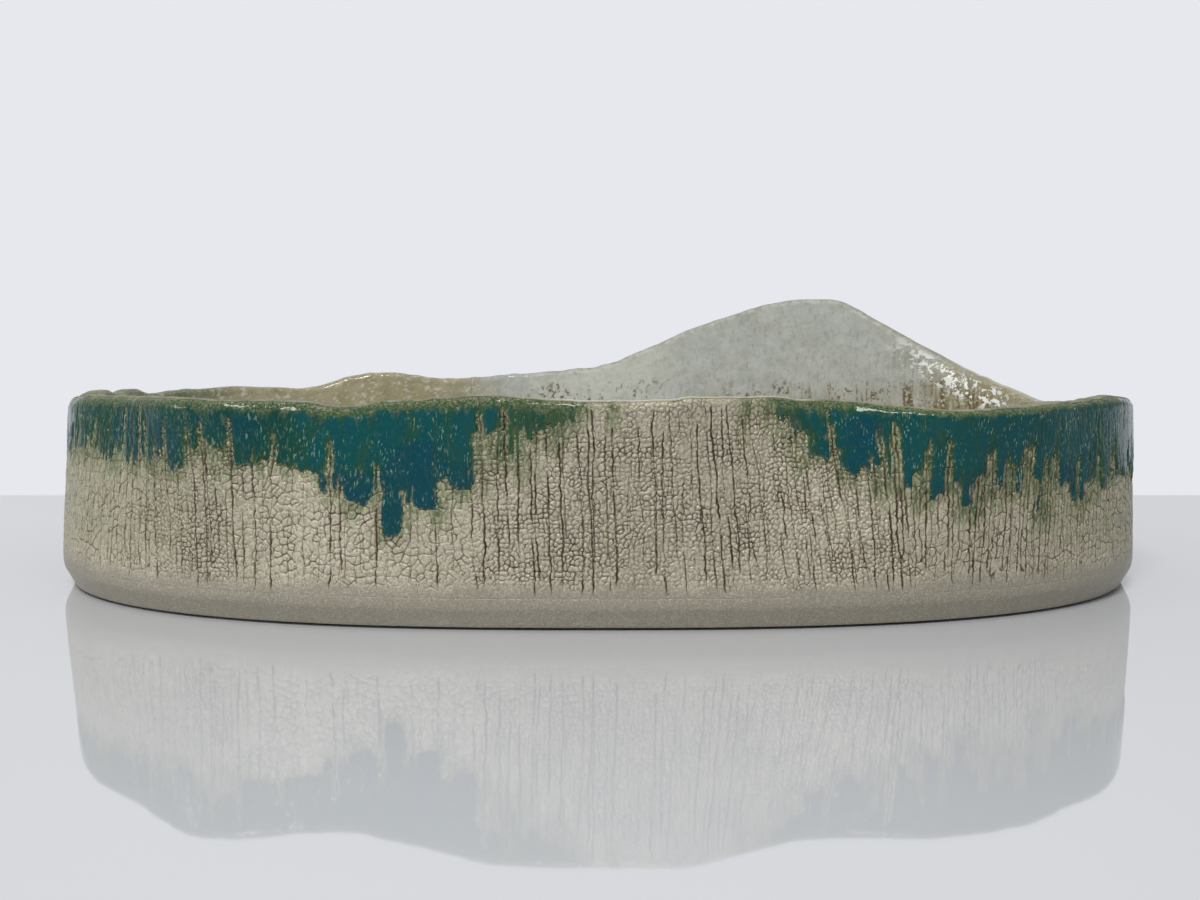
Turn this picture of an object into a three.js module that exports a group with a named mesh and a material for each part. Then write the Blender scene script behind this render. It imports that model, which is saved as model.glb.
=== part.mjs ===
// Ikebana basin: a low oval stoneware basin, slab built, with a mountain cut into its back wall.
// Millimetres. +Z is up, +X runs along the basin, and the front faces -Y. The origin is the
// centre of the underside. A bearing is an angle in degrees round the plan, from +X towards +Y:
// 90 is the back, 180 the left end and 270 the front.
import * as THREE from 'three';

// Plan of the foot of the wall, over the outer glaze
const LENGTH = 348;
const DEPTH = 232;
// Exponent of the oval: 2 is an ellipse, and more is squarer
const SQUARENESS = 2.54;

// Floor slab
const BEVEL_HEIGHT = 7;
const BEVEL_WIDTH = 3.2;
const EDGE_ABOVE_BEVEL = 2;
const FLOOR_THICKNESS = BEVEL_HEIGHT + EDGE_ABOVE_BEVEL;

// Clay wall, with its heights from the table up
const RIM_HEIGHT = 60;
const MOUNTAIN_RISE = 32;
const RIPPLE_DEPTH = 7;
const WAVE_DEPTH = 7.5;
const WAVE_CURVE = 1.3;
const CLAY_AT_FOOT = 6;
const CLAY_AT_RIM = 4.4;
const RIM_ROUNDING = 1.6;
const SCARF_RUN = 4.4;
const LEFT_SEAM_BEARING = 179;
const RIGHT_SEAM_BEARING = 350;

// Roll of clay in the inside corner
const COIL_SIZE = 9;
const COIL_EDGE = 0.5;

// Glaze coats
const CRACKLE_THICKNESS = 1.2;
const INNER_THICKNESS = 1;
const RUN_THICKNESS = 0.8;
const RUN_TOP_THICKNESS = 0.5;
const RUN_EDGE_THICKNESS = 0.3;
const RUN_LIP = 2;
const DRIP_ABOVE_SLAB = 16;
const DRIP_HALF_WIDTH = 4;
const MOUNTAIN_GLAZE_START = 14;
const MOUNTAIN_GLAZE_END = 116;

// Gap between touching pieces, on each seat
const SEAM_GAP = 0.3;

// Columns round the plan, and rows up the wall
const STATIONS = 100;
const WALL_ROWS = 5;
const GLAZE_ROWS = 4;
const COIL_ROWS = 3;
// A station nearer than this share of a span to another column is left out
const CLOSEST_COLUMN = 0.1;
// Columns across a drip, as shares of its half width
const DRIP_COLUMNS = [-1.02, -0.9, -0.5, 0, 0.5, 0.9, 1.02];

// Freehand rim: bearing, ripple as a share of RIPPLE_DEPTH (down is negative), and the wave of
// the rim as a share of WAVE_DEPTH (in towards the centre is positive)
const RIM = [
  [0, -0.86, 0.27], [13, -1, 0.13], [20, -0.5, 0.13], [29, -0.3, 0.13], [38, 0, 0.27],
  [52, 0, 0.27], [60, 0, 0.13], [72, 0, 0], [94, -0.1, -0.27], [108, 0, 0],
  [120, -0.14, 0.4], [130, 0.21, 0.4], [136, 0.07, 0.13], [143, -0.64, -0.27], [152, -0.43, -0.27],
  [161, -0.5, 0.13], [170, -0.57, 0.3], [176, -0.2, 0.38], [180, -0.4, 0.38], [184, -0.14, 0.38],
  [192, -0.36, 0.4], [202, -0.07, 0.65], [211, 0, 0.8], [217, 0.07, 0.24], [222, 0.11, -0.32],
  [227, 0, -0.11], [232.5, -0.04, 0.88], [238, -0.21, 0.9], [243.5, 0, 0.83], [249.5, 0.1, 0.37],
  [257, 0.27, -0.3], [265, 0.13, -0.8], [276, 0.17, -0.9], [281, 0.2, -0.7], [288.5, 0.19, 0.27],
  [292, 0.2, 0.79], [296, 0.05, 1], [301, 0, 0.93], [306, -0.14, 0.17], [311, -0.31, -0.56],
  [320, -0.23, -0.43], [327, -0.14, 0.1], [336, -0.07, 0.2], [344, -0.36, 0.27], [352, -0.64, 0.33],
];

// Outline of the mountain: bearing, and share of MOUNTAIN_RISE
const MOUNTAIN = [
  [14, 0], [20, 0.05], [26, 0.2], [32, 0.43], [38, 0.67], [42.5, 0.9], [46, 1], [52, 1],
  [57, 0.94], [64, 0.78], [72, 0.6], [80, 0.36], [88, 0.18], [98, 0.08], [108, 0.02], [116, 0],
];

// Lower edge of a glaze run: bearing, and share of the way from its top to the longest drip
const LEFT_RUN = [
  [148, 0.05], [156, 0.24], [170, 0.3], [200, 0.36], [232, 0.39], [238, 0.5], [241, 0.66],
  [250, 0.67], [253, 0.5], [254.5, 0.27], [262, 0.18], [266, 0.05],
];
const RIGHT_RUN = [
  [292.5, 0.05], [297, 0.26], [303, 0.42], [306, 0.5], [309, 0.61], [313, 0.66], [317, 0.58],
  [330, 0.64], [345, 0.56], [358, 0.42], [368, 0.24], [378, 0.05],
];

// Drips that hang from a run: bearing, half width as a share of DRIP_HALF_WIDTH, and how far it
// hangs as a share as above
const LEFT_DRIPS = [
  [165, 1, 0.41], [174, 1.25, 0.46], [183, 1.25, 0.51], [193, 1, 0.46], [203, 1.5, 0.41],
  [216, 1.25, 0.46], [221, 1, 0.49], [228.5, 1.25, 0.46], [237.3, 0.65, 0.63], [240.5, 0.9, 0.74],
  [244.7, 0.65, 1], [248.3, 1.05, 0.78], [253, 0.85, 0.59], [258.6, 0.65, 0.37],
];
const RIGHT_DRIPS = [
  [297.5, 0.75, 0.37], [301.5, 1, 0.48], [305.5, 0.9, 0.62], [309, 0.85, 0.67], [312.8, 0.6, 0.77],
  [318.5, 0.95, 0.71], [321.8, 0.45, 0.92], [327, 0.9, 0.81], [333, 1, 0.67], [341, 1.25, 0.69],
  [350, 1.25, 0.67], [359, 1.5, 0.56], [368, 1, 0.4],
];

// The oval plan as a distance from the centre at a bearing
function outlineRadius(bearing) {
  const angle = THREE.MathUtils.degToRad(bearing);
  const alongX = Math.abs(Math.cos(angle)) / (LENGTH / 2);
  const alongY = Math.abs(Math.sin(angle)) / (DEPTH / 2);
  return (alongX ** SQUARENESS + alongY ** SQUARENESS) ** (-1 / SQUARENESS);
}

function outlinePoint(bearing) {
  const angle = THREE.MathUtils.degToRad(bearing);
  return new THREE.Vector2(Math.cos(angle), Math.sin(angle)).multiplyScalar(outlineRadius(bearing));
}

// Unit vector that points out of the oval, square to it
function outlineNormal(bearing) {
  const { x, y } = outlinePoint(bearing);
  const slopeX = Math.sign(x) * (Math.abs(x) / (LENGTH / 2)) ** (SQUARENESS - 1) / LENGTH;
  const slopeY = Math.sign(y) * (Math.abs(y) / (DEPTH / 2)) ** (SQUARENESS - 1) / DEPTH;
  return new THREE.Vector2(slopeX, slopeY).normalize();
}

// Length of the outline from bearing 0, sampled in equal steps of bearing
const SAMPLES = 3600;
const outlineLengths = [0];
for (let i = 1; i <= SAMPLES; i++) {
  const step = outlinePoint(i * 360 / SAMPLES).distanceTo(outlinePoint((i - 1) * 360 / SAMPLES));
  outlineLengths.push(outlineLengths[i - 1] + step);
}
const PERIMETER = outlineLengths[SAMPLES];
const SPACING = PERIMETER / STATIONS;

// A position counts stations round the outline from bearing 0, and may lie between two of them
function positionOf(bearing) {
  const turns = Math.floor(bearing / 360);
  const sample = (bearing / 360 - turns) * SAMPLES;
  const low = Math.floor(sample);
  const high = Math.min(low + 1, SAMPLES);
  const length = THREE.MathUtils.lerp(outlineLengths[low], outlineLengths[high], sample - low);
  return turns * STATIONS + length / SPACING;
}

function bearingOf(position) {
  const length = position * SPACING;
  const high = Math.max(1, outlineLengths.findIndex((sample) => sample >= length));
  const before = outlineLengths[high - 1];
  const share = (length - before) / (outlineLengths[high] - before);
  return (high - 1 + share) * 360 / SAMPLES;
}

// Value of a closed table at a bearing, on a smooth curve through its points
function smoothAround(table, bearing, column) {
  const count = table.length;
  const found = table.findIndex((row) => row[0] > bearing);
  const next = found < 0 ? count : found;
  const at = (index) => {
    const turns = Math.floor(index / count);
    const row = table[index - turns * count];
    return [row[0] + 360 * turns, row[column]];
  };
  const [before, from, to, after] = [at(next - 2), at(next - 1), at(next), at(next + 1)];
  const width = to[0] - from[0];
  const share = (bearing - from[0]) / width;
  const slopeFrom = (to[1] - before[1]) / (to[0] - before[0]) * width;
  const slopeTo = (after[1] - from[1]) / (after[0] - from[0]) * width;
  const squared = share * share;
  const cubed = squared * share;
  return (2 * cubed - 3 * squared + 1) * from[1] + (cubed - 2 * squared + share) * slopeFrom
    + (3 * squared - 2 * cubed) * to[1] + (cubed - squared) * slopeTo;
}

// Value of an open table at a bearing, on straight lines between its points
function along(table, bearing) {
  const found = table.findIndex((row) => row[0] >= bearing);
  const next = found < 0 ? table.length - 1 : Math.max(1, found);
  const [from, to] = [table[next - 1], table[next]];
  return THREE.MathUtils.mapLinear(bearing, from[0], to[0], from[1], to[1]);
}

// Each station holds its place on the outline and the rim above it
const stations = Array.from({ length: STATIONS }, (_, index) => {
  const bearing = bearingOf(index);
  const ripple = RIPPLE_DEPTH * smoothAround(RIM, bearing, 1);
  const mountain = MOUNTAIN_RISE * smoothAround(MOUNTAIN, bearing, 1);
  return {
    foot: outlinePoint(bearing),
    normal: outlineNormal(bearing),
    rim: RIM_HEIGHT + ripple + mountain,
    wave: WAVE_DEPTH * smoothAround(RIM, bearing, 2),
  };
});

function stationPoint(station, inset, height) {
  const rise = Math.max(0, (height - FLOOR_THICKNESS) / (station.rim - FLOOR_THICKNESS));
  const inward = inset + station.wave * rise ** WAVE_CURVE;
  const { x, y } = station.foot.clone().addScaledVector(station.normal, -inward);
  return new THREE.Vector3(x, y, height);
}

function neighbours(position) {
  const low = Math.floor(position);
  const wrapped = ((low % STATIONS) + STATIONS) % STATIONS;
  return [stations[wrapped], stations[(wrapped + 1) % STATIONS], position - low];
}

// Point on the wall at a position, a height, and an inset in from the face of the outer glaze.
// Between stations it lies on the straight facet, so every coat stays parallel to the clay.
function wallPoint(position, inset, height) {
  const [from, to, share] = neighbours(position);
  return stationPoint(from, inset, height).lerp(stationPoint(to, inset, height), share);
}

function rimAt(position) {
  const [from, to, share] = neighbours(position);
  return THREE.MathUtils.lerp(from.rim, to.rim, share);
}

// Levels and insets that neighbouring pieces share
const WALL_FOOT = FLOOR_THICKNESS + SEAM_GAP;
const CLAY_OUTER = CRACKLE_THICKNESS + SEAM_GAP;
const clayTop = (position) => rimAt(position) - INNER_THICKNESS - SEAM_GAP;
const shoulderAt = (position) => clayTop(position) - RIM_ROUNDING;
const POOL_DEPTH = COIL_EDGE + SEAM_GAP + INNER_THICKNESS;
const COIL_BACK = CLAY_OUTER + CLAY_AT_FOOT + SEAM_GAP;
const COIL_FOOT = COIL_BACK + COIL_SIZE;
const COIL_TOP = WALL_FOOT + COIL_SIZE;
const COIL_RADIUS = COIL_SIZE - COIL_EDGE;
// How far the flat of the clay's rim is set in from the face, where the corner is rounded off
const RIM_CORNER = 0.7 * RIM_ROUNDING;

function clayInner(position, height) {
  const rise = (height - FLOOR_THICKNESS) / (rimAt(position) - FLOOR_THICKNESS);
  return CLAY_OUTER + THREE.MathUtils.lerp(CLAY_AT_FOOT, CLAY_AT_RIM, rise);
}

// Even steps from one value to another, both included
function steps(from, to, count) {
  return Array.from({ length: count }, (_, i) => THREE.MathUtils.lerp(from, to, i / (count - 1)));
}

// Positions of a strip's columns: its ends, the stations between them, and any extra ones
function stripPositions(start, end, extra = []) {
  const fixed = [start, ...extra.filter((position) => position > start && position < end), end];
  const whole = [];
  for (let station = Math.ceil(start); station < end; station++) {
    if (fixed.every((position) => Math.abs(position - station) > CLOSEST_COLUMN)) whole.push(station);
  }
  return [...fixed, ...whole].sort((a, b) => a - b);
}

function wholeRing() {
  return Array.from({ length: STATIONS }, (_, index) => index);
}

// The coil's hollow face is a quarter circle, from the wall down to the floor
function coilArc(radius) {
  return steps(0, Math.PI / 2, COIL_ROWS).map((angle) => [
    COIL_FOOT - radius * Math.cos(angle),
    COIL_TOP - radius * Math.sin(angle),
  ]);
}

// A profile is a loop of [inset, height] pairs that starts low on the outer face, goes up it,
// over the top and down the inner face
function clayProfile(position) {
  const top = clayTop(position);
  const rows = steps(WALL_FOOT, shoulderAt(position), WALL_ROWS);
  return [
    ...rows.map((height) => [CLAY_OUTER, height]),
    [CLAY_OUTER + RIM_CORNER, top],
    [clayInner(position, top) - RIM_CORNER, top],
    ...rows.reverse().map((height) => [clayInner(position, height), height]),
  ];
}

function crackleProfile(position) {
  const rows = steps(WALL_FOOT, shoulderAt(position), WALL_ROWS);
  return [
    ...rows.map((height) => [0, height]),
    ...rows.reverse().map((height) => [CRACKLE_THICKNESS, height]),
  ];
}

function coilProfile() {
  return [
    [COIL_BACK, WALL_FOOT],
    [COIL_BACK, COIL_TOP],
    ...coilArc(COIL_RADIUS),
    [COIL_FOOT, WALL_FOOT],
  ];
}

// The inner glaze laps over the rim and runs down the wall and the coil to the floor
function innerGlazeProfile(position) {
  const top = clayTop(position);
  const lip = shoulderAt(position) + SEAM_GAP;
  const innerTop = clayInner(position, top);
  const rows = steps(shoulderAt(position), COIL_TOP, GLAZE_ROWS).slice(0, -1);
  const face = (depth) => rows.map((height) => [clayInner(position, height) + depth, height]);
  const claySide = SEAM_GAP;
  const waterSide = SEAM_GAP + INNER_THICKNESS;
  return [
    [CLAY_OUTER - waterSide, lip],
    [CLAY_OUTER + RIM_CORNER / 2, rimAt(position)],
    [innerTop - RIM_CORNER / 2, rimAt(position)],
    ...face(waterSide),
    ...coilArc(COIL_RADIUS - waterSide),
    ...coilArc(COIL_RADIUS - claySide).reverse(),
    ...face(claySide).reverse(),
    [innerTop - RIM_CORNER + claySide / 2, top + claySide],
    [CLAY_OUTER + RIM_CORNER - claySide / 2, top + claySide],
    [CLAY_OUTER - claySide / 2, lip],
  ];
}

// Height of a run's lower edge: the run's own edge, or the round end of a drip below it
function runEdge(position, run, drips) {
  const top = shoulderAt(position);
  const drop = top - FLOOR_THICKNESS - DRIP_ABOVE_SLAB;
  const wrapped = bearingOf(position % STATIONS);
  const bearing = wrapped < run[0][0] - 1 ? wrapped + 360 : wrapped;
  let edge = top - drop * along(run, bearing);
  for (const [dripBearing, breadth, share] of drips) {
    const halfWidth = breadth * DRIP_HALF_WIDTH;
    const across = Math.abs(position - positionOf(dripBearing)) * SPACING;
    if (across < halfWidth) {
      const roundEnd = halfWidth - Math.sqrt(halfWidth ** 2 - across ** 2);
      edge = Math.min(edge, top - drop * share + roundEnd);
    }
  }
  return edge;
}

// A run is thin under the rim and ends below in a thick, rounded lip
function runProfile(position, run, drips) {
  const top = shoulderAt(position);
  const edge = runEdge(position, run, drips);
  const lip = Math.min(RUN_LIP, (top - edge) / 2);
  const middle = (top + edge) / 2;
  return [
    [-SEAM_GAP - RUN_EDGE_THICKNESS, edge],
    [-SEAM_GAP - RUN_THICKNESS, edge + lip],
    [-SEAM_GAP - RUN_TOP_THICKNESS, top],
    [-SEAM_GAP, top],
    [-SEAM_GAP, middle],
    [-SEAM_GAP, edge],
  ];
}

// Extra columns where a drip begins, rounds off and ends
function dripPositions(drips) {
  return drips.flatMap(([bearing, breadth]) => (
    DRIP_COLUMNS.map((share) => positionOf(bearing) + share * breadth * DRIP_HALF_WIDTH / SPACING)
  ));
}

// Triangles across a closed profile that has as many points down its inner face as up its outer
// face. They join the two faces like rungs, and face the start of a strip.
function capTriangles(size) {
  const triangles = [];
  for (let low = 0; low < size / 2 - 1; low++) {
    const back = size - 1 - low;
    triangles.push([low, low + 1, back - 1], [low, back - 1, back]);
  }
  return triangles;
}

function solid(points, triangles) {
  const geometry = new THREE.BufferGeometry();
  geometry.setAttribute('position', new THREE.Float32BufferAttribute(
    points.flatMap((point) => point.toArray()),
    3,
  ));
  geometry.setIndex(triangles.flat());
  geometry.computeVertexNormals();
  return geometry;
}

// A closed body through columns of points. A ring joins its last column to its first, and a
// strip is closed by a cap at each end. Every diagonal climbs from one column to the next, on
// outer and inner faces alike, so that facing coats bend along the same lines.
function loft(columns, closed) {
  const size = columns[0].length;
  const spans = closed ? columns.length : columns.length - 1;
  const triangles = [];
  for (let column = 0; column < spans; column++) {
    const here = column * size;
    const there = ((column + 1) % columns.length) * size;
    for (let row = 0; row < size; row++) {
      const next = (row + 1) % size;
      const [a, b, c, d] = [here + row, there + row, there + next, here + next];
      const rising = columns[0][next].z >= columns[0][row].z;
      triangles.push(...(rising ? [[a, b, c], [a, c, d]] : [[a, b, d], [b, c, d]]));
    }
  }
  if (!closed) {
    const last = (columns.length - 1) * size;
    for (const [a, b, c] of capTriangles(size)) {
      triangles.push([a, b, c], [last + a, last + c, last + b]);
    }
  }
  return solid(columns.flat(), triangles);
}

function columnsAt(positions, profileAt) {
  return positions.map((position) => (
    profileAt(position).map(([inset, height]) => wallPoint(position, inset, height))
  ));
}

const ringOf = (profileAt) => loft(columnsAt(wholeRing(), profileAt), true);
const stripOf = (positions, profileAt) => loft(columnsAt(positions, profileAt), false);

// A closed plate from rings of [inset, height], listed from the underside up
function plateOf(rings) {
  const points = rings.flatMap(([inset, height]) => (
    wholeRing().map((position) => wallPoint(position, inset, height))
  ));
  const triangles = [];
  const under = points.push(new THREE.Vector3(0, 0, rings[0][1])) - 1;
  const over = points.push(new THREE.Vector3(0, 0, rings[rings.length - 1][1])) - 1;
  const topRing = (rings.length - 1) * STATIONS;
  for (let here = 0; here < STATIONS; here++) {
    const there = (here + 1) % STATIONS;
    triangles.push([under, there, here], [over, topRing + here, topRing + there]);
    for (let ring = 0; ring < topRing; ring += STATIONS) {
      const above = ring + STATIONS;
      triangles.push([ring + here, ring + there, above + there]);
      triangles.push([ring + here, above + there, above + here]);
    }
  }
  return solid(points, triangles);
}

// The walls meet in scarf joints: each end slopes through the thickness of the clay, inside one
// span between stations. side is -1 where a strip ends at the seam and +1 where it starts.
function scarfEnd(seam, side) {
  const gap = SEAM_GAP * Math.hypot(1, SCARF_RUN / CLAY_AT_FOOT);
  return clayProfile(seam).map(([inset, height]) => {
    const depth = THREE.MathUtils.clamp((inset - CLAY_OUTER) / CLAY_AT_FOOT, 0, 1);
    const shift = SCARF_RUN * (depth - 0.5) + side * gap / 2;
    return wallPoint(seam + shift / SPACING, inset, height);
  });
}

const seamNear = (bearing) => Math.floor(positionOf(bearing)) + 0.5;

function wallStrip(startSeam, endSeam) {
  const inner = [];
  for (let station = Math.ceil(startSeam); station < endSeam; station++) inner.push(station);
  const columns = columnsAt(inner, clayProfile);
  return loft([scarfEnd(startSeam, 1), ...columns, scarfEnd(endSeam, -1)], false);
}

function glazeStrip(startBearing, endBearing) {
  const inset = SEAM_GAP / 2 / SPACING;
  const positions = stripPositions(positionOf(startBearing) + inset, positionOf(endBearing) - inset);
  return stripOf(positions, innerGlazeProfile);
}

function glazeRun(run, drips) {
  const start = positionOf(run[0][0]);
  const end = positionOf(run[run.length - 1][0]);
  const positions = stripPositions(start, end, dripPositions(drips));
  return stripOf(positions, (position) => runProfile(position, run, drips));
}

function floorSlab() {
  return plateOf([[BEVEL_WIDTH, 0], [0, BEVEL_HEIGHT], [0, FLOOR_THICKNESS]]);
}

function floorGlaze() {
  const edge = COIL_FOOT + SEAM_GAP;
  return plateOf([[edge, WALL_FOOT], [edge, WALL_FOOT + POOL_DEPTH]]);
}

const clay = { color: 0x8b8374, roughness: 0.85, metalness: 0 };
const crackle = { color: 0x928c7a, roughness: 0.42, metalness: 0 };
const beigeGlaze = { color: 0x96917c, roughness: 0.35, metalness: 0 };
const whiteGlaze = { color: 0xa6a89e, roughness: 0.3, metalness: 0 };
const greenGlaze = { color: 0x2c4f4b, roughness: 0.22, metalness: 0 };

const basin = new THREE.Group();

function place(name, geometry, finish) {
  const mesh = new THREE.Mesh(geometry, new THREE.MeshStandardMaterial(finish));
  mesh.name = name;
  basin.add(mesh);
}

const leftSeam = seamNear(LEFT_SEAM_BEARING);
const rightSeam = seamNear(RIGHT_SEAM_BEARING);

place('floor_slab', floorSlab(), clay);
place('front_wall', wallStrip(leftSeam, rightSeam), clay);
place('back_wall', wallStrip(rightSeam, leftSeam + STATIONS), clay);
place('inner_seam_coil', ringOf(coilProfile), clay);
place('crackle_glaze', ringOf(crackleProfile), crackle);
place('inner_glaze', glazeStrip(MOUNTAIN_GLAZE_END, MOUNTAIN_GLAZE_START + 360), beigeGlaze);
place('mountain_glaze', glazeStrip(MOUNTAIN_GLAZE_START, MOUNTAIN_GLAZE_END), whiteGlaze);
place('floor_glaze', floorGlaze(), beigeGlaze);
place('left_glaze_run', glazeRun(LEFT_RUN, LEFT_DRIPS), greenGlaze);
place('right_glaze_run', glazeRun(RIGHT_RUN, RIGHT_DRIPS), greenGlaze);

export default basin;
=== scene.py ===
# Looks of the ikebana basin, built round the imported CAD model.
# Lengths are in millimetres until a mesh is made, which scales them to metres. A place on the
# wall is given by s, the length along the foot of the wall from bearing 0, and by the height z.
# A bearing is an angle in degrees round the plan, from +X towards +Y.
import math

import bpy
import numpy as np
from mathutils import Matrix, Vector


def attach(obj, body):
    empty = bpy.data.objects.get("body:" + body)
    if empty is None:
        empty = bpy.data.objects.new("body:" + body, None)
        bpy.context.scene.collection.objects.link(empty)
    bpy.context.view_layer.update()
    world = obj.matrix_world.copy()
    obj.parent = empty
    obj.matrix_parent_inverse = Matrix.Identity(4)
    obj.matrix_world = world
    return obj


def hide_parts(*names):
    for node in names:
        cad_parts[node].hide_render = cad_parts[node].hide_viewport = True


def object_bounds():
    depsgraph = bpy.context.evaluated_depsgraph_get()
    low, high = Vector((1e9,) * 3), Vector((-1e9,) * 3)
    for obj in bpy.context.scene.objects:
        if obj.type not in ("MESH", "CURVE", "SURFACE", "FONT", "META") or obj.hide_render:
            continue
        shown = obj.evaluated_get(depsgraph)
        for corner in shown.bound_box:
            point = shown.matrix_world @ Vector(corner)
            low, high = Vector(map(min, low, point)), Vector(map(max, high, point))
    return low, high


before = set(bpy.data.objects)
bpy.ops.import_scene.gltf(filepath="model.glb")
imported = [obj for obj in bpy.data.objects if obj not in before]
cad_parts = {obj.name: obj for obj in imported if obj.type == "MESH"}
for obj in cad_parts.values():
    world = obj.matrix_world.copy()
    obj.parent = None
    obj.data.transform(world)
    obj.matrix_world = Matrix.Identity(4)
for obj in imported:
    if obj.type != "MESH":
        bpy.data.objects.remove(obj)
cad_box = [list(map(float, corner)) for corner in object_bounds()]

MM = 0.001

# Plan, slab, wall and coats, as in the part's source
HALF_LENGTH, HALF_DEPTH, SQUARENESS = 174.0, 116.0, 2.54
FLOOR = 9.0
RIM_HEIGHT, MOUNTAIN_RISE, RIPPLE_DEPTH = 60.0, 32.0, 7.0
WAVE_DEPTH, WAVE_CURVE = 7.5, 1.3
CLAY_OUTER, CLAY_AT_FOOT, CLAY_AT_RIM = 1.5, 6.0, 4.4
GLAZE_FACE = 1.3
RIM_LAP = 2.9
COIL_FOOT, COIL_TOP, COIL_FACE = 16.8, 18.3, 7.2
POOL_EDGE = 17.1
LONGEST_DRIP = 25.0

# Freehand rim: bearing, ripple share, wave share
RIM = np.array([
    [0, -.86, .27], [13, -1, .13], [20, -.5, .13], [29, -.3, .13], [38, 0, .27], [52, 0, .27],
    [60, 0, .13], [72, 0, 0], [94, -.1, -.27], [108, 0, 0], [120, -.14, .4], [130, .21, .4],
    [136, .07, .13], [143, -.64, -.27], [152, -.43, -.27], [161, -.5, .13], [170, -.57, .3],
    [176, -.2, .38], [180, -.4, .38], [184, -.14, .38], [192, -.36, .4], [202, -.07, .65],
    [211, 0, .8], [217, .07, .24], [222, .11, -.32], [227, 0, -.11], [232.5, -.04, .88],
    [238, -.21, .9], [243.5, 0, .83], [249.5, .1, .37], [257, .27, -.3], [265, .13, -.8],
    [276, .17, -.9], [281, .2, -.7], [288.5, .19, .27], [292, .2, .79], [296, .05, 1],
    [301, 0, .93], [306, -.14, .17], [311, -.31, -.56], [320, -.23, -.43], [327, -.14, .1],
    [336, -.07, .2], [344, -.36, .27], [352, -.64, .33],
])
# Outline of the mountain: bearing, share of its rise
MOUNTAIN = np.array([
    [14, 0], [20, .05], [26, .2], [32, .43], [38, .67], [42.5, .9], [46, 1], [52, 1], [57, .94],
    [64, .78], [72, .6], [80, .36], [88, .18], [98, .08], [108, .02], [116, 0],
])
# Lower edges of the glaze runs: bearing, share of the way down to the end of the longest drip
LEFT_RUN = np.array([
    [144, -.25], [148, .05], [156, .24], [170, .3], [200, .36], [232, .39], [238, .5], [241, .66],
    [250, .67], [253, .5], [254.5, .27], [262, .18], [267, .02], [271, -.25],
])
RIGHT_RUN = np.array([
    [289, -.25], [292.5, .03], [297, .26], [303, .42], [306, .5], [309, .61], [313, .66],
    [317, .58], [330, .64], [345, .56], [358, .42], [368, .24], [378, .05], [382, -.25],
])
# Drips: bearing, half width, share of the way down
LONG_DRIP = 244.7
LEFT_DRIPS = [
    (165, 4, .41), (174, 5, .46), (183, 5, .51), (193, 4, .46), (203, 6, .41), (216, 5, .46),
    (221, 4, .49), (228.5, 5, .46), (237.3, 2.6, .63), (240.5, 3.6, .74), (LONG_DRIP, 2.6, 1),
    (248.3, 4.2, .78), (253, 3.4, .59), (258.6, 2.6, .37),
]
RIGHT_DRIPS = [
    (297.5, 3, .37), (301.5, 4, .48), (305.5, 3.6, .62), (309, 3.4, .67), (312.8, 2.4, .77),
    (318.5, 3.8, .71), (321.8, 1.8, .92), (327, 3.6, .81), (333, 4, .67), (341, 5, .69),
    (350, 5, .67), (359, 6, .56), (368, 4, .4),
]
# Crackle: bearing, width of a cell, spacing of the long cracks, strength of the long cracks,
# lean of the long cracks (how far they move on round the plan for each millimetre down)
CRACKLE = np.array([
    [0, 1.5, 2.7, .7, 0], [30, 1.6, 3.0, .7, 0], [90, 1.7, 3.3, .8, 0], [150, 1.6, 2.8, .7, 0],
    [180, 1.4, 2.4, .75, 0], [205, 1.4, 2.2, .85, 0], [225, 1.4, 2.5, .9, 0],
    [240, 1.6, 3.1, .85, .02], [252, 1.4, 2.8, .95, .02], [262, 1.3, 2.5, 1, .02],
    [278, 1.3, 2.4, 1, .05], [288, 1.3, 2.2, 1, .1], [298, 1.25, 1.9, 1.05, .12],
    [310, 1.2, 1.6, 1.1, .05], [322, 1.2, 1.6, 1.1, .02], [336, 1.3, 1.9, 1, 0],
    [350, 1.4, 2.4, .8, 0],
])
# Cells: the least width and the height of small ones, then width and height of big and tall ones
LEAST_CELL, CELL_HEIGHT = 0.9, 1.25
BIG_CELL, BIG_CELL_HEIGHT = 2.05, 1.8
TALL_CELL, TALL_CELL_HEIGHT = 1.25, 4.2
# Radius that rounds the cells' corners, and how far their middles stray, as a share of a cell
CORNER, JITTER = 0.12, 0.42


def outline_point(bearing):
    angle = np.radians(bearing)
    along_x = np.abs(np.cos(angle)) / HALF_LENGTH
    along_y = np.abs(np.sin(angle)) / HALF_DEPTH
    radius = (along_x ** SQUARENESS + along_y ** SQUARENESS) ** (-1 / SQUARENESS)
    return np.stack([radius * np.cos(angle), radius * np.sin(angle)], -1)


def outline_normal(bearing):
    point = outline_point(bearing)
    x, y = point[..., 0], point[..., 1]
    power = SQUARENESS - 1
    slope_x = np.sign(x) * (np.abs(x) / HALF_LENGTH) ** power / HALF_LENGTH
    slope_y = np.sign(y) * (np.abs(y) / HALF_DEPTH) ** power / HALF_DEPTH
    slope = np.stack([slope_x, slope_y], -1)
    return slope / np.linalg.norm(slope, axis=-1, keepdims=True)


BEARINGS = np.linspace(0, 360, 7201)
OUTLINE_STEPS = np.linalg.norm(np.diff(outline_point(BEARINGS), axis=0), axis=1)
LENGTHS = np.concatenate([[0], np.cumsum(OUTLINE_STEPS)])
PERIMETER = LENGTHS[-1]


def s_of(bearing):
    turns = math.floor(bearing / 360)
    return turns * PERIMETER + float(np.interp(bearing - 360 * turns, BEARINGS, LENGTHS))


def bearing_of(s):
    return np.interp(s % PERIMETER, LENGTHS, BEARINGS)


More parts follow.
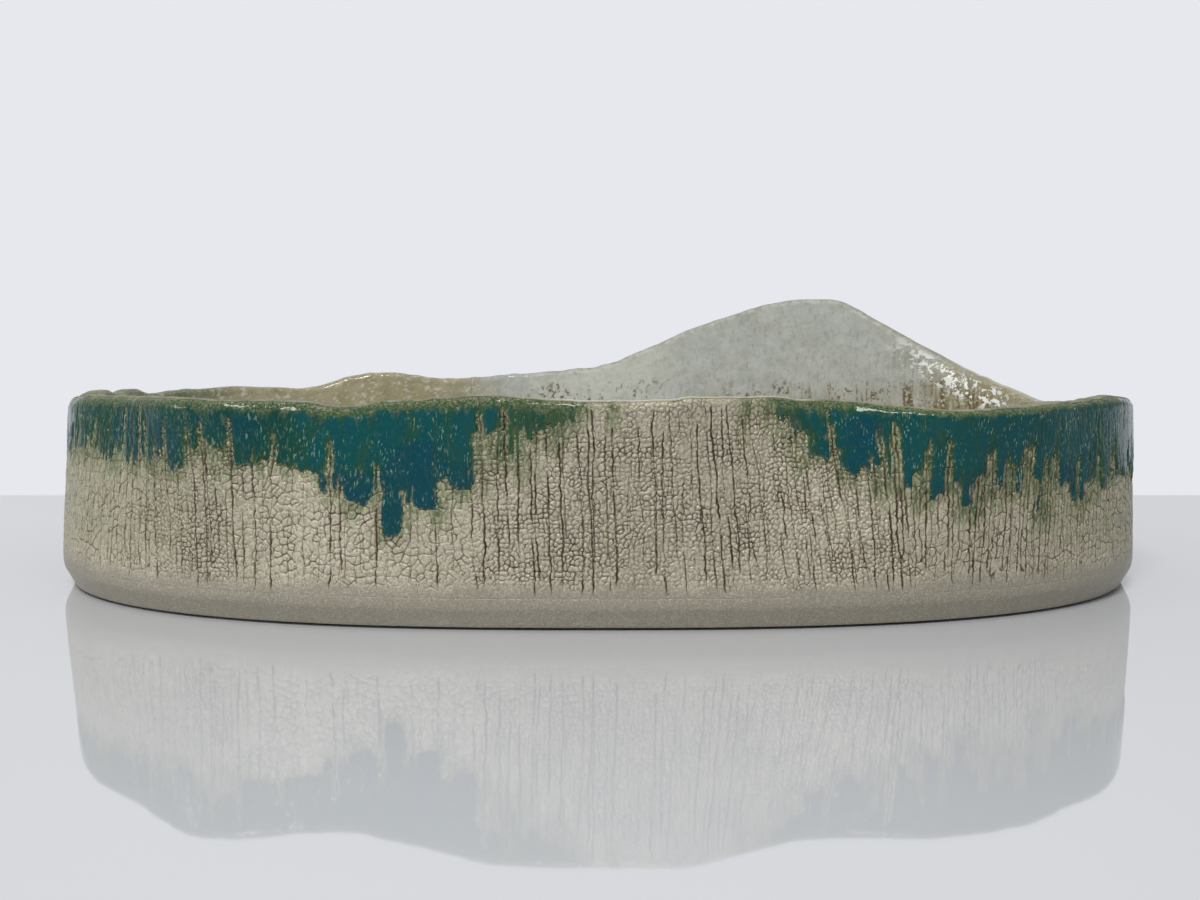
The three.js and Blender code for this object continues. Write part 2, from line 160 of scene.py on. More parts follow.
def smooth_around(table, bearing, column):
    """Value of a closed table at bearings, on a smooth curve through its points."""
    count = len(table)
    x = np.concatenate([table[-2:, 0] - 360, table[:, 0], table[:2, 0] + 360])
    y = np.concatenate([table[-2:, column], table[:, column], table[:2, column]])
    low = np.clip(np.searchsorted(x, bearing, side="right") - 1, 1, count + 1)
    width = x[low + 1] - x[low]
    share = (bearing - x[low]) / width
    slope_from = (y[low + 1] - y[low - 1]) / (x[low + 1] - x[low - 1]) * width
    after = np.minimum(low + 2, count + 3)
    slope_to = (y[after] - y[low]) / (x[after] - x[low]) * width
    squared = share * share
    cubed = squared * share
    return (
        (2 * cubed - 3 * squared + 1) * y[low] + (cubed - 2 * squared + share) * slope_from
        + (3 * squared - 2 * cubed) * y[low + 1] + (cubed - squared) * slope_to
    )


# Noise on whole-number lattices, which repeats after one turn of the plan
WORD = 0xFFFFFFFF
HASH_I, HASH_J, HASH_SEED = 374761393, 668265263, 144269504
HASH_MIX, HASH_MIX_AGAIN, HASH_PAIR = 1274126177, 1103515245, 7919.37


def hashed(i, j, seed):
    """A number from 0 to 1 that looks random, for each pair of whole numbers."""
    n = (i.astype(np.int64) * HASH_I + j.astype(np.int64) * HASH_J + seed * HASH_SEED) & WORD
    n = ((n ^ (n >> 13)) * HASH_MIX) & WORD
    n = ((n ^ (n >> 15)) * HASH_MIX_AGAIN) & WORD
    return (n ^ (n >> 16)) / (WORD + 1.0)


def lattice_noise(u, v, seed, period):
    i, j = np.floor(u), np.floor(v)
    fu, fv = u - i, v - j
    fu, fv = fu * fu * (3 - 2 * fu), fv * fv * (3 - 2 * fv)
    i, j = i.astype(np.int64), j.astype(np.int64)
    i0, i1 = i % period, (i + 1) % period
    low = hashed(i0, j, seed) * (1 - fu) + hashed(i1, j, seed) * fu
    high = hashed(i0, j + 1, seed) * (1 - fu) + hashed(i1, j + 1, seed) * fu
    return 2 * (low * (1 - fv) + high * fv) - 1


def noise(s, z, wide, tall, seed):
    """Smooth noise from -1 to 1 with features of that width and height."""
    period = max(1, round(PERIMETER / wide))
    return lattice_noise(s / PERIMETER * period, z / tall, seed, period)


def ramp(x, low, high):
    """A smooth step from 0 at low to 1 at high."""
    t = np.clip((x - low) / (high - low), 0, 1)
    return t * t * (3 - 2 * t)


def between(x, rise_from, rise_to, fall_from, fall_to):
    """A smooth step up, and a smooth step down again."""
    return ramp(x, rise_from, rise_to) * (1 - ramp(x, fall_from, fall_to))


def lattice_of(column):
    """The count of lattice steps from s = 0, for steps as wide as that column of CRACKLE says."""
    middle = (BEARINGS[1:] + BEARINGS[:-1]) / 2
    widths = np.maximum(smooth_around(CRACKLE, middle, column), LEAST_CELL)
    counts = np.concatenate([[0], np.cumsum(np.diff(LENGTHS) / widths)])
    total = round(counts[-1])
    return counts * total / counts[-1], total


CELL_COUNTS, CELL_TOTAL = lattice_of(1)
CRACK_COUNTS, CRACK_TOTAL = lattice_of(2)


def count_at(counts, total, s):
    turns = np.floor(s / PERIMETER)
    return turns * total + np.interp(s - turns * PERIMETER, LENGTHS, counts)


def cells(u, v, wide, tall, seed, period, joined):
    """Distance to the nearest edge between cells, in millimetres and rounded off at the corners,
    how deep that edge is cut, and a number for each cell. Some neighbours are joined."""
    i, j = np.floor(u).astype(np.int64), np.floor(v).astype(np.int64)

    def site(di, dj):
        a, b = (i + di) % period, j + dj
        x = (i + di + 0.5 + JITTER * (2 * hashed(a, b, seed) - 1) - u) * wide
        y = (j + dj + 0.5 + JITTER * (2 * hashed(a, b, seed + 7) - 1) - v) * tall
        return x, y

    best = np.full(u.shape, np.inf)
    near_x, near_y = np.zeros(u.shape), np.zeros(u.shape)
    near_i, near_j = np.zeros(u.shape, np.int64), np.zeros(u.shape, np.int64)
    for di in (-1, 0, 1):
        for dj in (-1, 0, 1):
            x, y = site(di, dj)
            far = x * x + y * y
            closer = far < best
            best = np.where(closer, far, best)
            near_x, near_y = np.where(closer, x, near_x), np.where(closer, y, near_y)
            near_i, near_j = np.where(closer, di, near_i), np.where(closer, dj, near_j)
    total = np.full(u.shape, 1e-30)
    cut = np.zeros(u.shape)
    own = hashed((i + near_i) % period, j + near_j, seed + 13)
    for di in (-2, -1, 0, 1, 2):
        for dj in (-2, -1, 0, 1, 2):
            if abs(di) + abs(dj) > 3:
                continue
            x, y = site(di, dj)
            across_x, across_y = x - near_x, y - near_y
            apart = np.hypot(across_x, across_y)
            mid = ((x + near_x) * across_x + (y + near_y) * across_y) / 2
            pair = (own + hashed((i + di) % period, j + dj, seed + 13)) * HASH_PAIR % 1
            away = np.clip(mid / np.maximum(apart, 1e-6), 0, 5)
            weight = np.where((apart > 1e-6) & (pair > joined), np.exp(-away / CORNER), 0)
            total += weight
            cut += weight * (pair - joined) / (1 - joined)
    return np.maximum(-CORNER * np.log(total), 0), cut / total, own


def cells_where(mask, u, v, wide, tall, seed, period, joined):
    """The same where the mask says, and plain glaze elsewhere."""
    found = np.full(mask.shape, 5.0), np.zeros(mask.shape), np.zeros(mask.shape)
    wide = np.broadcast_to(wide, mask.shape)
    parts = cells(u[mask], v[mask], wide[mask], tall, seed, period, joined)
    for whole, part in zip(found, parts):
        whole[mask] = part
    return found


def long_cracks(s, z, rim):
    """Strength of the long cracks that run down from the rim, how far some of them open a glaze run,
    their raised lips, and the number of the stretch of wall between two of them."""
    bearing = bearing_of(s)
    spacing = np.maximum(smooth_around(CRACKLE, bearing, 2), LEAST_CELL)
    force = smooth_around(CRACKLE, bearing, 3)
    lean = smooth_around(CRACKLE, bearing, 4)
    u = count_at(CRACK_COUNTS, CRACK_TOTAL, s + lean * (z - 35))
    base = np.floor(u).astype(np.int64)
    strength = np.zeros(s.shape)
    opening = np.zeros(s.shape)
    lips = np.zeros(s.shape)
    for step in (-1, 0, 1):
        k = (base + step) % CRACK_TOTAL
        zero = np.zeros_like(k)
        kind = hashed(k, zero, 101)
        sway = (
            0.5 * lattice_noise(k * 3.0, z / 13, 102, CRACK_TOTAL * 3)
            + 0.22 * lattice_noise(k * 5.0, z / 3.6, 103, CRACK_TOTAL * 5)
            + 0.16 * lattice_noise(k * 5.0, z / 1.1, 104, CRACK_TOTAL * 5)
        )
        centre = base + step + 0.5 + 0.38 * (2 * hashed(k, zero, 105) - 1)
        across = (centre - u) * spacing + sway
        if step == 0:
            column = (base + (across < 0)) % CRACK_TOTAL
        away = np.abs(across)
        top = rim - 1.5 - 9 * hashed(k, zero, 106) ** 2.5
        bottom = 8.5 + 8 * hashed(k, zero, 107) ** 2
        reach = ramp(z, bottom, bottom + 3.5) * ramp(top - z, -0.5, 2.0)
        breaks = ramp(lattice_noise(k * 7.0, z / 5.5, 108, CRACK_TOTAL * 7), -0.7, -0.1)
        major = ramp(kind, 0.4, 0.85)
        beading = 1 + 0.5 * lattice_noise(k * 9.0, z / 1.8, 109, CRACK_TOTAL * 9)
        width = (0.1 + 0.02 * ramp(kind, 0.2, 0.4) + 0.05 * major) * beading
        amount = (0.46 + 0.26 * ramp(kind, 0.1, 0.45) + 0.28 * major) * reach * force
        amount = amount * (breaks * (1 - major) + (0.4 + 0.6 * breaks) * major)
        line = amount * np.exp(-(away / width) ** 2)
        strength = np.maximum(strength, line)
        lip = np.exp(-((away - 0.6) / 0.38) ** 2) * amount * (0.35 + 0.65 * major)
        lips = np.maximum(lips, lip)
        opening = np.maximum(opening, ramp(kind, 0.66, 0.82) * (2.4 * line + 1.8 * lip))
    return strength, opening, lips, column


# How far the level ends of a run differ from each other
BLOCK_DEPTH = 6.5
# How far beyond its ends a run is still looked for, along the wall
RUN_REACH = 60


def place_along(s, run):
    """The place s, counted on past a full turn where the run reaches past it."""
    return np.where(s < s_of(run[0, 0]) - RUN_REACH, s + PERIMETER, s)


def run_distance(s, z, run, drips, rim, column):
    """How far inside a glaze run a place is, in millimetres. It is negative outside. Between two
    long cracks the run ends at one level, as if cut off. The second value leaves those steps out."""
    bearing = bearing_of(s)
    bearing = np.where(bearing < run[0, 0] - 20, bearing + 360, bearing)
    top = rim - RIM_LAP
    drop = top - LONGEST_DRIP
    share = np.interp(bearing, run[:, 0], run[:, 1], left=0, right=0)
    ends = np.minimum(bearing - run[0, 0], run[-1, 0] - bearing) * 2.4
    zero = np.zeros_like(column)
    block = 0.35 * hashed(column, zero, 211) + 0.65 * hashed(column // 3, zero, 212) - 0.5
    comb = BLOCK_DEPTH * block + 0.4 * noise(s, z, 1.2, 40, 201) + 1.2 * noise(s, z, 6, 60, 202)
    plain = (z - (top - drop * share)) * 0.8
    inside = plain + 0.8 * comb * ramp(share, 0.1, 0.3)
    place = place_along(s, run)
    wobble = 0.25 * noise(s, z, 2.2, 3.5, 203) + 0.15 * noise(s, z, 0.9, 1.4, 204)
    ragged = 1.3 * noise(s, 0 * z, 2.2, 40, 207) * ramp(z, LONGEST_DRIP + 5, LONGEST_DRIP + 9)
    for drip_bearing, half, reach in drips:
        away = place - s_of(drip_bearing)
        near = np.abs(away) < half + 6
        if not near.any():
            continue
        end_top = float(np.mean(top[near]))
        centre = end_top - (end_top - LONGEST_DRIP) * reach + half
        below = np.maximum(0, centre - z + ragged)
        drip = half - (np.abs(away) ** 4 + below ** 4) ** (1 / 4)
        inside = np.maximum(inside, drip + wobble)
        plain = np.maximum(plain, drip)
    inside = np.minimum(inside, ends)
    plain = np.minimum(plain, ends)
    return inside + 0.3 * noise(s, z, 1.2, 5, 205) + 0.2 * noise(s, z, 0.6, 1.5, 206), plain


def skin(s, z):
    """How far the smooth glaze lies in from its outermost face, with its small unevenness."""
    uneven = 0.06 * noise(s, z, 3.5, 7, 43) + 0.04 * noise(s, z, 0.8, 0.8, 41)
    return uneven + 0.02 * noise(s, z, 0.5, 2.2, 42) + 0.12


def crest_of(s, rim):
    """Height of the uneven top of the wall."""
    zero = np.zeros_like(s)
    return rim + 0.3 * noise(s, zero, 9, 1, 73) + 0.2 * noise(s, zero, 3.5, 1, 74)


# Half the rim's thickness, and how square its rounding is
RIM_HALF = (CLAY_OUTER + CLAY_AT_RIM + GLAZE_FACE) / 2
RIM_SQUARE = 0.65


def rim_inset(z, crest):
    """How far the outside turns in at a height, where it rounds over into the rim."""
    rise = np.clip((z - crest + RIM_LAP) / RIM_LAP, 0, 1) ** (1 / RIM_SQUARE)
    return RIM_HALF * (1 - np.sqrt(1 - rise ** 2) ** RIM_SQUARE)


def cell_pattern(s, z, bearing):
    """Distance to the nearest seam between cells, how deep it is cut, a number for each cell, and
    the share of tall cells. Tall cells lie at the ends, big ones under the left run, and small
    ones elsewhere."""
    wide = np.maximum(smooth_around(CRACKLE, bearing, 1), LEAST_CELL)
    warp_s = 0.45 * noise(s, z, 5, 5, 1) + 0.14 * noise(s, z, 1.7, 1.7, 2)
    warp_z = 0.45 * noise(s, z, 5, 5, 3) + 0.14 * noise(s, z, 1.7, 1.7, 4)
    near_s, near_z = s + warp_s, z + warp_z
    tall = between(bearing, 140, 160, 208, 224) + ramp(bearing, 298, 312)
    tall = tall + 1 - ramp(bearing, 20, 40)
    tall = ramp(tall + 0.4 * noise(s, z, 9, 7, 15), 0.45, 0.6)
    big = between(bearing, 223, 230, 252, 258)
    big = big * (1 - ramp(z, 38, 46)) * ramp(z, 8, 11)
    big = ramp(big + 0.4 * noise(s, z, 9, 7, 14), 0.45, 0.6) * (1 - tall)
    small = 1 - tall - big
    small_count = count_at(CELL_COUNTS, CELL_TOTAL, near_s)
    big_total, tall_total = round(PERIMETER / BIG_CELL), round(PERIMETER / TALL_CELL)
    kinds = (
        (small, cells_where(
            small > 0, small_count, near_z / CELL_HEIGHT, wide, CELL_HEIGHT, 11, CELL_TOTAL, 0.1)),
        (big, cells_where(
            big > 0, near_s / PERIMETER * big_total, near_z / BIG_CELL_HEIGHT,
            BIG_CELL, BIG_CELL_HEIGHT, 12, big_total, 0.1)),
        (tall, cells_where(
            tall > 0, near_s / PERIMETER * tall_total, near_z / TALL_CELL_HEIGHT,
            TALL_CELL, TALL_CELL_HEIGHT, 13, tall_total, 0.12)),
    )
    edge, cut, tone = (sum(share * values[part] for share, values in kinds) for part in range(3))
    return edge, cut, tone, tall


def softness(bearing):
    """How softly the runs fade out round the plan."""
    faint = between(bearing, 140, 150, 214, 226) + ramp(bearing, 341, 352)
    faint = faint + 1 - ramp(bearing, 14, 24) + between(bearing, 255, 261, 272, 276)
    return faint + between(bearing, 286, 289, 294, 298)


def wall_field(s, z):
    """All that varies over the outside wall, at places s and z: how deep the crackle lies, how
    thick the run is there, and the tints."""
    bearing = bearing_of(s)
    rim = track(s)[2]
    edge, cut, tone, tall = cell_pattern(s, z, bearing)
    strength, opening, lips, column = long_cracks(s, z, rim)

    # The cells fade out into a smooth band at the foot, and are weaker in places
    foot = ramp(z + 1.3 * noise(s, z, 6, 4, 21) + 0.8 * noise(s, z, 1.6, 1.6, 22), 9.5, 14)
    under_rim = 1 - 0.3 * ramp(z - rim, -6, -2)
    patch = 0.85 + 0.3 * noise(s, z, 8, 6, 23) + 0.2 * noise(s, z, 2.6, 4.5, 24)
    level = np.clip(patch, 0.3, 1.1) * foot * under_rim
    pillow = 1 - (1 - np.minimum(edge / 0.5, 1)) ** 2
    seam = np.exp(-(edge / 0.12) ** 2)

    # How far inside the runs a place is, and how thick they are there
    left, plain_left = run_distance(s, z, LEFT_RUN, LEFT_DRIPS, rim, column)
    right, plain_right = run_distance(s, z, RIGHT_RUN, RIGHT_DRIPS, rim, column)
    inside = np.maximum(left, right)
    plain = np.maximum(plain_left, plain_right)
    faint = softness(bearing)

    # Long cracks open the runs near their lower edges, and in places higher up, and tiny specks
    # are left bare. The long drip stays whole.
    beads = ramp(noise(s, z, 1.8, 1.3, 36), -0.3, 0.5)
    through = ramp(noise(s, z, 6, 16, 37), 0.15, 0.35) * (1 - ramp(bearing, 314, 326))
    through = through * (0.35 + 0.65 * beads)
    lower = ramp(inside + 2 * noise(s, z, 4, 30, 38), 8, 2)
    from_drip = place_along(s, LEFT_RUN) - s_of(LONG_DRIP)
    clean = np.exp(-(from_drip / 2.8) ** 6) * (1 - ramp(z, 40, 46))
    gap = (opening + 0.25 * strength) * np.maximum(lower, through) * (1 - clean)
    specks = ramp(noise(s, z, 0.8, 4.2, 31) + 0.5 * noise(s, z, 2.4, 9, 32), 0.62, 0.95)
    specks = specks + 0.8 * ramp(noise(s, z, 0.7, 0.9, 33), 0.72, 0.95)
    specks = specks * ramp(z, LONGEST_DRIP + 7, LONGEST_DRIP + 12) * (0.3 + 0.7 * ramp(inside, 9, 0))
    hazy = inside + 1.5 * noise(s, z, 0.9, 7, 39) + 1.2 * noise(s, z, 2.4, 5, 40)
    thick = 0.5 * (1 - np.exp(-np.maximum(inside, 0) / 0.6)) + np.minimum(inside, 0) * 0.6
    hazy = 0.5 * (1 - np.exp(-np.maximum(hazy, 0) / 3)) + np.minimum(hazy, 0) * 0.6
    thick = thick + (hazy - thick) * faint
    thick = thick - gap * 0.9 - 0.45 * specks * (1 - clean)
    near_top = (rim - 0.7 - z) * (1 + 0.8 * ramp(bearing, 298, 312))
    thick = np.minimum(thick, 0.05 + np.maximum(near_top, -1) * 0.2)
    thick = thick - 0.1 * (1 - ramp(near_top, 0.5, 4)) * (1 + noise(s, z, 1.2, 1.6, 35))

    # Relief of the crackle, which a run fills
    covered = ramp(thick, 0.05, 0.4)
    depth = 0.38 * (1 - pillow) * level * (0.5 + 0.5 * cut)
    depth = depth * (1 - 0.75 * covered) * (1 - 0.35 * tall)
    depth = depth + 0.18 * seam * level * cut + 0.12 * tone * level
    depth = depth + 0.5 * strength * (1 - 0.6 * covered)
    depth = depth + skin(s, z) - 0.1 * lips * foot
    depth = np.clip(depth, 0.0, 1.05)

    # Tints: dark seams and cracks, green mist below the runs, their thin edge, and its ochre
    stain = 0.5 + 0.5 * noise(s, z, 3.2, 5, 26)
    dark = seam * level * (0.35 + 0.65 * cut) * (0.5 + 0.5 * stain) * (1 - covered)
    dark = np.clip(np.maximum(dark, strength * 1.35), 0, 1)
    streaks = 1.6 * noise(s, z, 0.7, 4, 51) + 1.8 * noise(s, z, 5, 8, 52)
    streaks = streaks + 1.2 * noise(s, z, 0.5, 1.3, 56)
    mist = ramp(plain + streaks, -7.5 - 3.5 * faint, 2.0)
    mist = np.maximum(mist, 0.7 * ramp(inside, -2.2, 0.2))
    ends = between(bearing, 150, 165, 215, 245)
    ends = ends + 0.5 * ramp(bearing, 292, 310) + 0.6 * ramp(bearing, 318, 334)
    mist = np.maximum(mist, (0.3 + 0.12 * noise(s, z, 0.9, 8, 55)) * ends * ramp(z, 7, 24))
    top_band = 1 - ramp(near_top, 0.4, 2.6)
    wash = ramp(thick + 0.08 * noise(s, z, 0.8, 1.5, 53), -0.3, 0.02) * ramp(inside, -1.2, 0.3)
    wash = np.maximum(wash, top_band * ramp(inside + 1.5 * noise(s, z, 3, 5, 54), -0.5, 2.5))
    ochre = np.exp(-((thick + 0.1) / 0.1) ** 2) * ramp(inside, -1.2, 0.4)
    ochre = np.clip(ochre * (1 - 0.7 * faint) + lips * wash, 0, 1) * (1 - top_band)
    return dict(
        depth=depth, thick=thick, left=left, right=right, top_band=top_band, faint=faint,
        tint=np.stack([dark, mist, wash, ochre], -1),
        dashes=np.clip(ramp(bearing, 300, 318) + 0.7, 0, 1),
        green=between(bearing, 140, 150, 226, 238) + 0.6 * ramp(bearing, 318, 336),
    )


def track(s):
    """Foot point, outward normal, rim height and wave at each s."""
    bearing = bearing_of(s)
    ripple = RIPPLE_DEPTH * smooth_around(RIM, bearing, 1)
    mountain = MOUNTAIN_RISE * smooth_around(MOUNTAIN, bearing, 1)
    return (
        outline_point(bearing), outline_normal(bearing), RIM_HEIGHT + ripple + mountain,
        WAVE_DEPTH * smooth_around(RIM, bearing, 2),
    )


def wall_points(s, z, inset):
    """Points for a grid of columns s (n) and rows z (n, m), set in from the outer face."""
    foot, normal, rim, wave = track(s)
    rise = np.maximum(0, (z - FLOOR) / (rim - FLOOR)[:, None])
    inward = inset + wave[:, None] * rise ** WAVE_CURVE
    flat = foot[:, None, :] - normal[:, None, :] * inward[..., None]
    return np.concatenate([flat, z[..., None]], -1)


# The CAD box, which no point of a piece leaves
BOX_MARGIN = 0.002
LOW = np.array(cad_box[0]) / MM + BOX_MARGIN
HIGH = np.array(cad_box[1]) / MM - BOX_MARGIN


# Boxes (left, bottom, right, top) in the UV map of a shell, of a run and of a plate
SHELL_FACE_UV, SHELL_CLOSING_UV = (0.002, 0.06, 0.998, 0.998), (0.07, 0.001, 0.998, 0.01)
RUN_FACE_UV, RUN_BACK_UV = (0.002, 0.3, 0.998, 0.998), (0.002, 0.1, 0.998, 0.29)
RUN_SIDE_UV = (0.002, 0.002, 0.998, 0.09)
PLATE_UV = (0.002, 0.02, 0.998, 0.998)
# The strips of a shell's back lie between its two boxes, above one another
BACK_UV_START, BACK_UV_HEIGHT = 0.012, 0.046
# End caps are circles in the lowest corner, side by side
CAP_UV_PLACE, CAP_UV_STEP, CAP_UV_RADIUS = 0.004, 0.008, 0.003


def make_mesh(name, points, quads, uvs, flat_faces, tints, material, nodes, ngons=()):
    """A piece from points (n, 3) in millimetres, quads (k, 4), a UV for each corner of each quad,
    a mask of the faces that stay flat, and the tints of its points."""
    points = np.clip(points.reshape(-1, 3), LOW, HIGH) * MM
    mesh = bpy.data.meshes.new(name)
    mesh.vertices.add(len(points))
    mesh.vertices.foreach_set("co", points.astype(np.float32).ravel())
    corners = [quads.ravel()] + [np.asarray(ngon) for ngon in ngons]
    counts = np.array([4] * len(quads) + [len(ngon) for ngon in ngons])
    loops = np.concatenate(corners).astype(np.int32)
    mesh.loops.add(len(loops))
    mesh.loops.foreach_set("vertex_index", loops)
    mesh.polygons.add(len(counts))
    starts = np.concatenate([[0], np.cumsum(counts)[:-1]]).astype(np.int32)
    mesh.polygons.foreach_set("loop_start", starts)
    smooth = np.concatenate([~flat_faces, np.zeros(len(ngons), bool)])
    mesh.update(calc_edges=True)
    mesh.polygons.foreach_set("use_smooth", smooth)
    places = [uvs.reshape(-1, 2)]
    for number, ngon in enumerate(ngons):
        turn = np.linspace(0, 2 * np.pi, len(ngon), endpoint=False)
        centre = np.array([CAP_UV_PLACE + CAP_UV_STEP * number, CAP_UV_PLACE])
        places.append(centre + CAP_UV_RADIUS * np.stack([np.cos(turn), np.sin(turn)], -1))
    layer = mesh.uv_layers.new(name="OFBake", do_init=False)
    layer.uv.foreach_set("vector", np.concatenate(places).astype(np.float32).ravel())
    for key, values in tints.items():
        attribute = mesh.attributes.new(key, "FLOAT_COLOR", "POINT")
        attribute.data.foreach_set("color", values.reshape(-1, 4).astype(np.float32).ravel())
    mesh.materials.append(material)
    mesh.validate()
    piece = bpy.data.objects.new(name, mesh)
    bpy.context.scene.collection.objects.link(piece)
    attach(piece, "root")
    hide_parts(*nodes)


def grid_quads(columns, rows, wrap=False):
    """Quads of a grid of columns x rows points, and each quad's column and row. With wrap, the
    last column joins the first."""
    spans = columns if wrap else columns - 1
    i, j = np.meshgrid(np.arange(spans), np.arange(rows - 1), indexing="ij")
    i, j = i.ravel(), j.ravel()
    after = (i + 1) % columns
    quads = np.stack([i * rows + j, after * rows + j, after * rows + j + 1, i * rows + j + 1], -1)
    return quads, i, j


def grid_uv(i, j, columns, rows, box):
    x0, y0, x1, y1 = box
    left, right = x0 + (x1 - x0) * i / columns, x0 + (x1 - x0) * (i + 1) / columns
    low, high = y0 + (y1 - y0) * j / (rows - 1), y0 + (y1 - y0) * (j + 1) / (rows - 1)
    return np.stack([
        np.stack([left, low], -1), np.stack([right, low], -1),
        np.stack([right, high], -1), np.stack([left, high], -1),
    ], 1)


def shell(name, face, back, material, nodes, tints):
    """A closed solid from a fine outer grid, face (n, m, 3), and a coarse back (n, k, 3) whose
    first row lies behind the face's last row. The face's columns run so that it looks out."""
    columns, rows = face.shape[:2]
    extra = back.shape[1]
    size = rows + extra
    spans = columns - 1
    quads, i, j = grid_quads(columns, size)
    closing = np.arange(spans)
    low, after = closing * size, (closing + 1) * size
    last = np.stack([low + size - 1, after + size - 1, after, low], -1)
    front = j < rows - 1
    uv_front = grid_uv(i, j, spans, rows, SHELL_FACE_UV)
    step = BACK_UV_HEIGHT / extra
    strip = BACK_UV_START + (j - (rows - 1)) * step
    uv_back = grid_uv(i, np.zeros_like(j), spans, 2, (0.002, 0.0, 0.998, 0.75 * step))
    uv_back = uv_back + np.stack([np.zeros_like(strip), strip], -1)[:, None, :]
    uv = np.where(front[:, None, None], uv_front, uv_back)
    uv_last = grid_uv(closing, np.zeros_like(closing), spans, 2, SHELL_CLOSING_UV)
    flat = np.concatenate([~front, np.ones(spans, bool)])
    tints = {
        key: np.concatenate([values, np.repeat(values[:, -1:], extra, 1)], 1)
        for key, values in tints.items()
    }
    make_mesh(
        name, np.concatenate([face, back], 1), np.concatenate([quads, last]),
        np.concatenate([uv, uv_last]), flat, tints, material, nodes,
        [np.arange(size), spans * size + np.arange(size)[::-1]],
    )


# Nodes

def rgb(r, g, b):
    """A colour given as sRGB numbers from 0 to 255."""
    values = [x / 255 for x in (r, g, b)]
    return [x / 12.92 if x <= 0.04045 else ((x + 0.055) / 1.055) ** 2.4 for x in values] + [1.0]


class Graph:
    """Short calls for building the nodes of a tree."""

    def __init__(self, node_tree):
        self.nodes = node_tree.nodes
        self.links = node_tree.links

    def put(self, socket, value):
        if isinstance(value, bpy.types.NodeSocket):
            self.links.new(value, socket)
        else:
            socket.default_value = value

    def new(self, kind, inputs=(), **settings):
        """A node with its settings, and with values or links put into some of its inputs."""
        node = self.nodes.new(kind)
        for key, value in settings.items():
            setattr(node, key, value)
        for key, value in dict(inputs).items():
            self.put(node.inputs[key], value)
        return node

    def math(self, operation, a, b):
        return self.new("ShaderNodeMath", {0: a, 1: b}, operation=operation).outputs[0]

    def mix(self, factor, a, b):
        node = self.new("ShaderNodeMix", {"Factor": factor, 6: a, 7: b}, data_type="RGBA")
        return node.outputs[2]

    def paint(self, base, colour, amount, strength):
        """The colour laid over the base, as much as amount times strength."""
        return self.mix(self.math("MULTIPLY", amount, strength), base, colour)

    def span(self, value, low, high, out_low=0.0, out_high=1.0):
        """A smooth step from out_low to out_high, as the value goes from low to high."""
        ends = {"From Min": low, "From Max": high, "To Min": out_low, "To Max": out_high}
        node = self.new(
            "ShaderNodeMapRange", {"Value": value, **ends}, interpolation_type="SMOOTHSTEP")
        return node.outputs["Result"]

    def axis(self, vector, name):
        """One coordinate of a vector."""
        return self.new("ShaderNodeSeparateXYZ", {0: vector}).outputs[name]

    def rays(self, *kinds):
        """1 for a ray of any of these kinds, and 0 for others."""
        path = self.new("ShaderNodeLightPath")
        found = path.outputs[f"Is {kinds[0]} Ray"]
        for kind in kinds[1:]:
            found = self.math("MAXIMUM", found, path.outputs[f"Is {kind} Ray"])
        return found

    def blend(self, factor, a, b):
        """A mix of two shaders."""
        return self.new("ShaderNodeMixShader", {0: factor, 1: a, 2: b}).outputs[0]


class Tree(Graph):
    """The nodes of a new material."""

    def __init__(self, name):
        self.material = bpy.data.materials.new(name)
        self.material.use_nodes = True
        super().__init__(self.material.node_tree)
        self.shader = self.nodes["Principled BSDF"]
        self.place = self.new("ShaderNodeTexCoord").outputs["Object"]

    def scaled(self, x, y, z):
        inputs = {"Vector": self.place, "Scale": (x, y, z)}
        return self.new("ShaderNodeMapping", inputs).outputs["Vector"]

    def noise(self, vector, scale, detail, rough=0.5):
        inputs = {"Vector": vector, "Scale": scale, "Detail": detail, "Roughness": rough}
        return self.new("ShaderNodeTexNoise", inputs).outputs["Fac"]

    def cracks(self, vector, scale):
        inputs = {"Vector": vector, "Scale": scale}
        node = self.new("ShaderNodeTexVoronoi", inputs, feature="DISTANCE_TO_EDGE")
        return node.outputs["Distance"]

    def tint(self, name):
        """The four numbers of one of the mesh's tints."""
        node = self.new("ShaderNodeAttribute", attribute_name=name)
        split = self.new("ShaderNodeSeparateColor", {0: node.outputs["Color"]})
        return [*split.outputs[:3], node.outputs["Alpha"]]

    def surface(self, colour, roughness, height, strength, distance):
        """The material, with its colour, roughness and bump put on the shader."""
        bump = self.new(
            "ShaderNodeBump", {"Strength": strength, "Distance": distance, "Height": height})
        self.put(self.shader.inputs["Base Color"], colour)
        self.put(self.shader.inputs["Roughness"], roughness)
        self.put(self.shader.inputs["Normal"], bump.outputs["Normal"])
        return self.material


# Materials. Lengths in them are in metres, and features get smaller as a noise's scale grows.

# Heights between which the plain band along the foot ends
FOOT_BAND = 0.0125, 0.0175


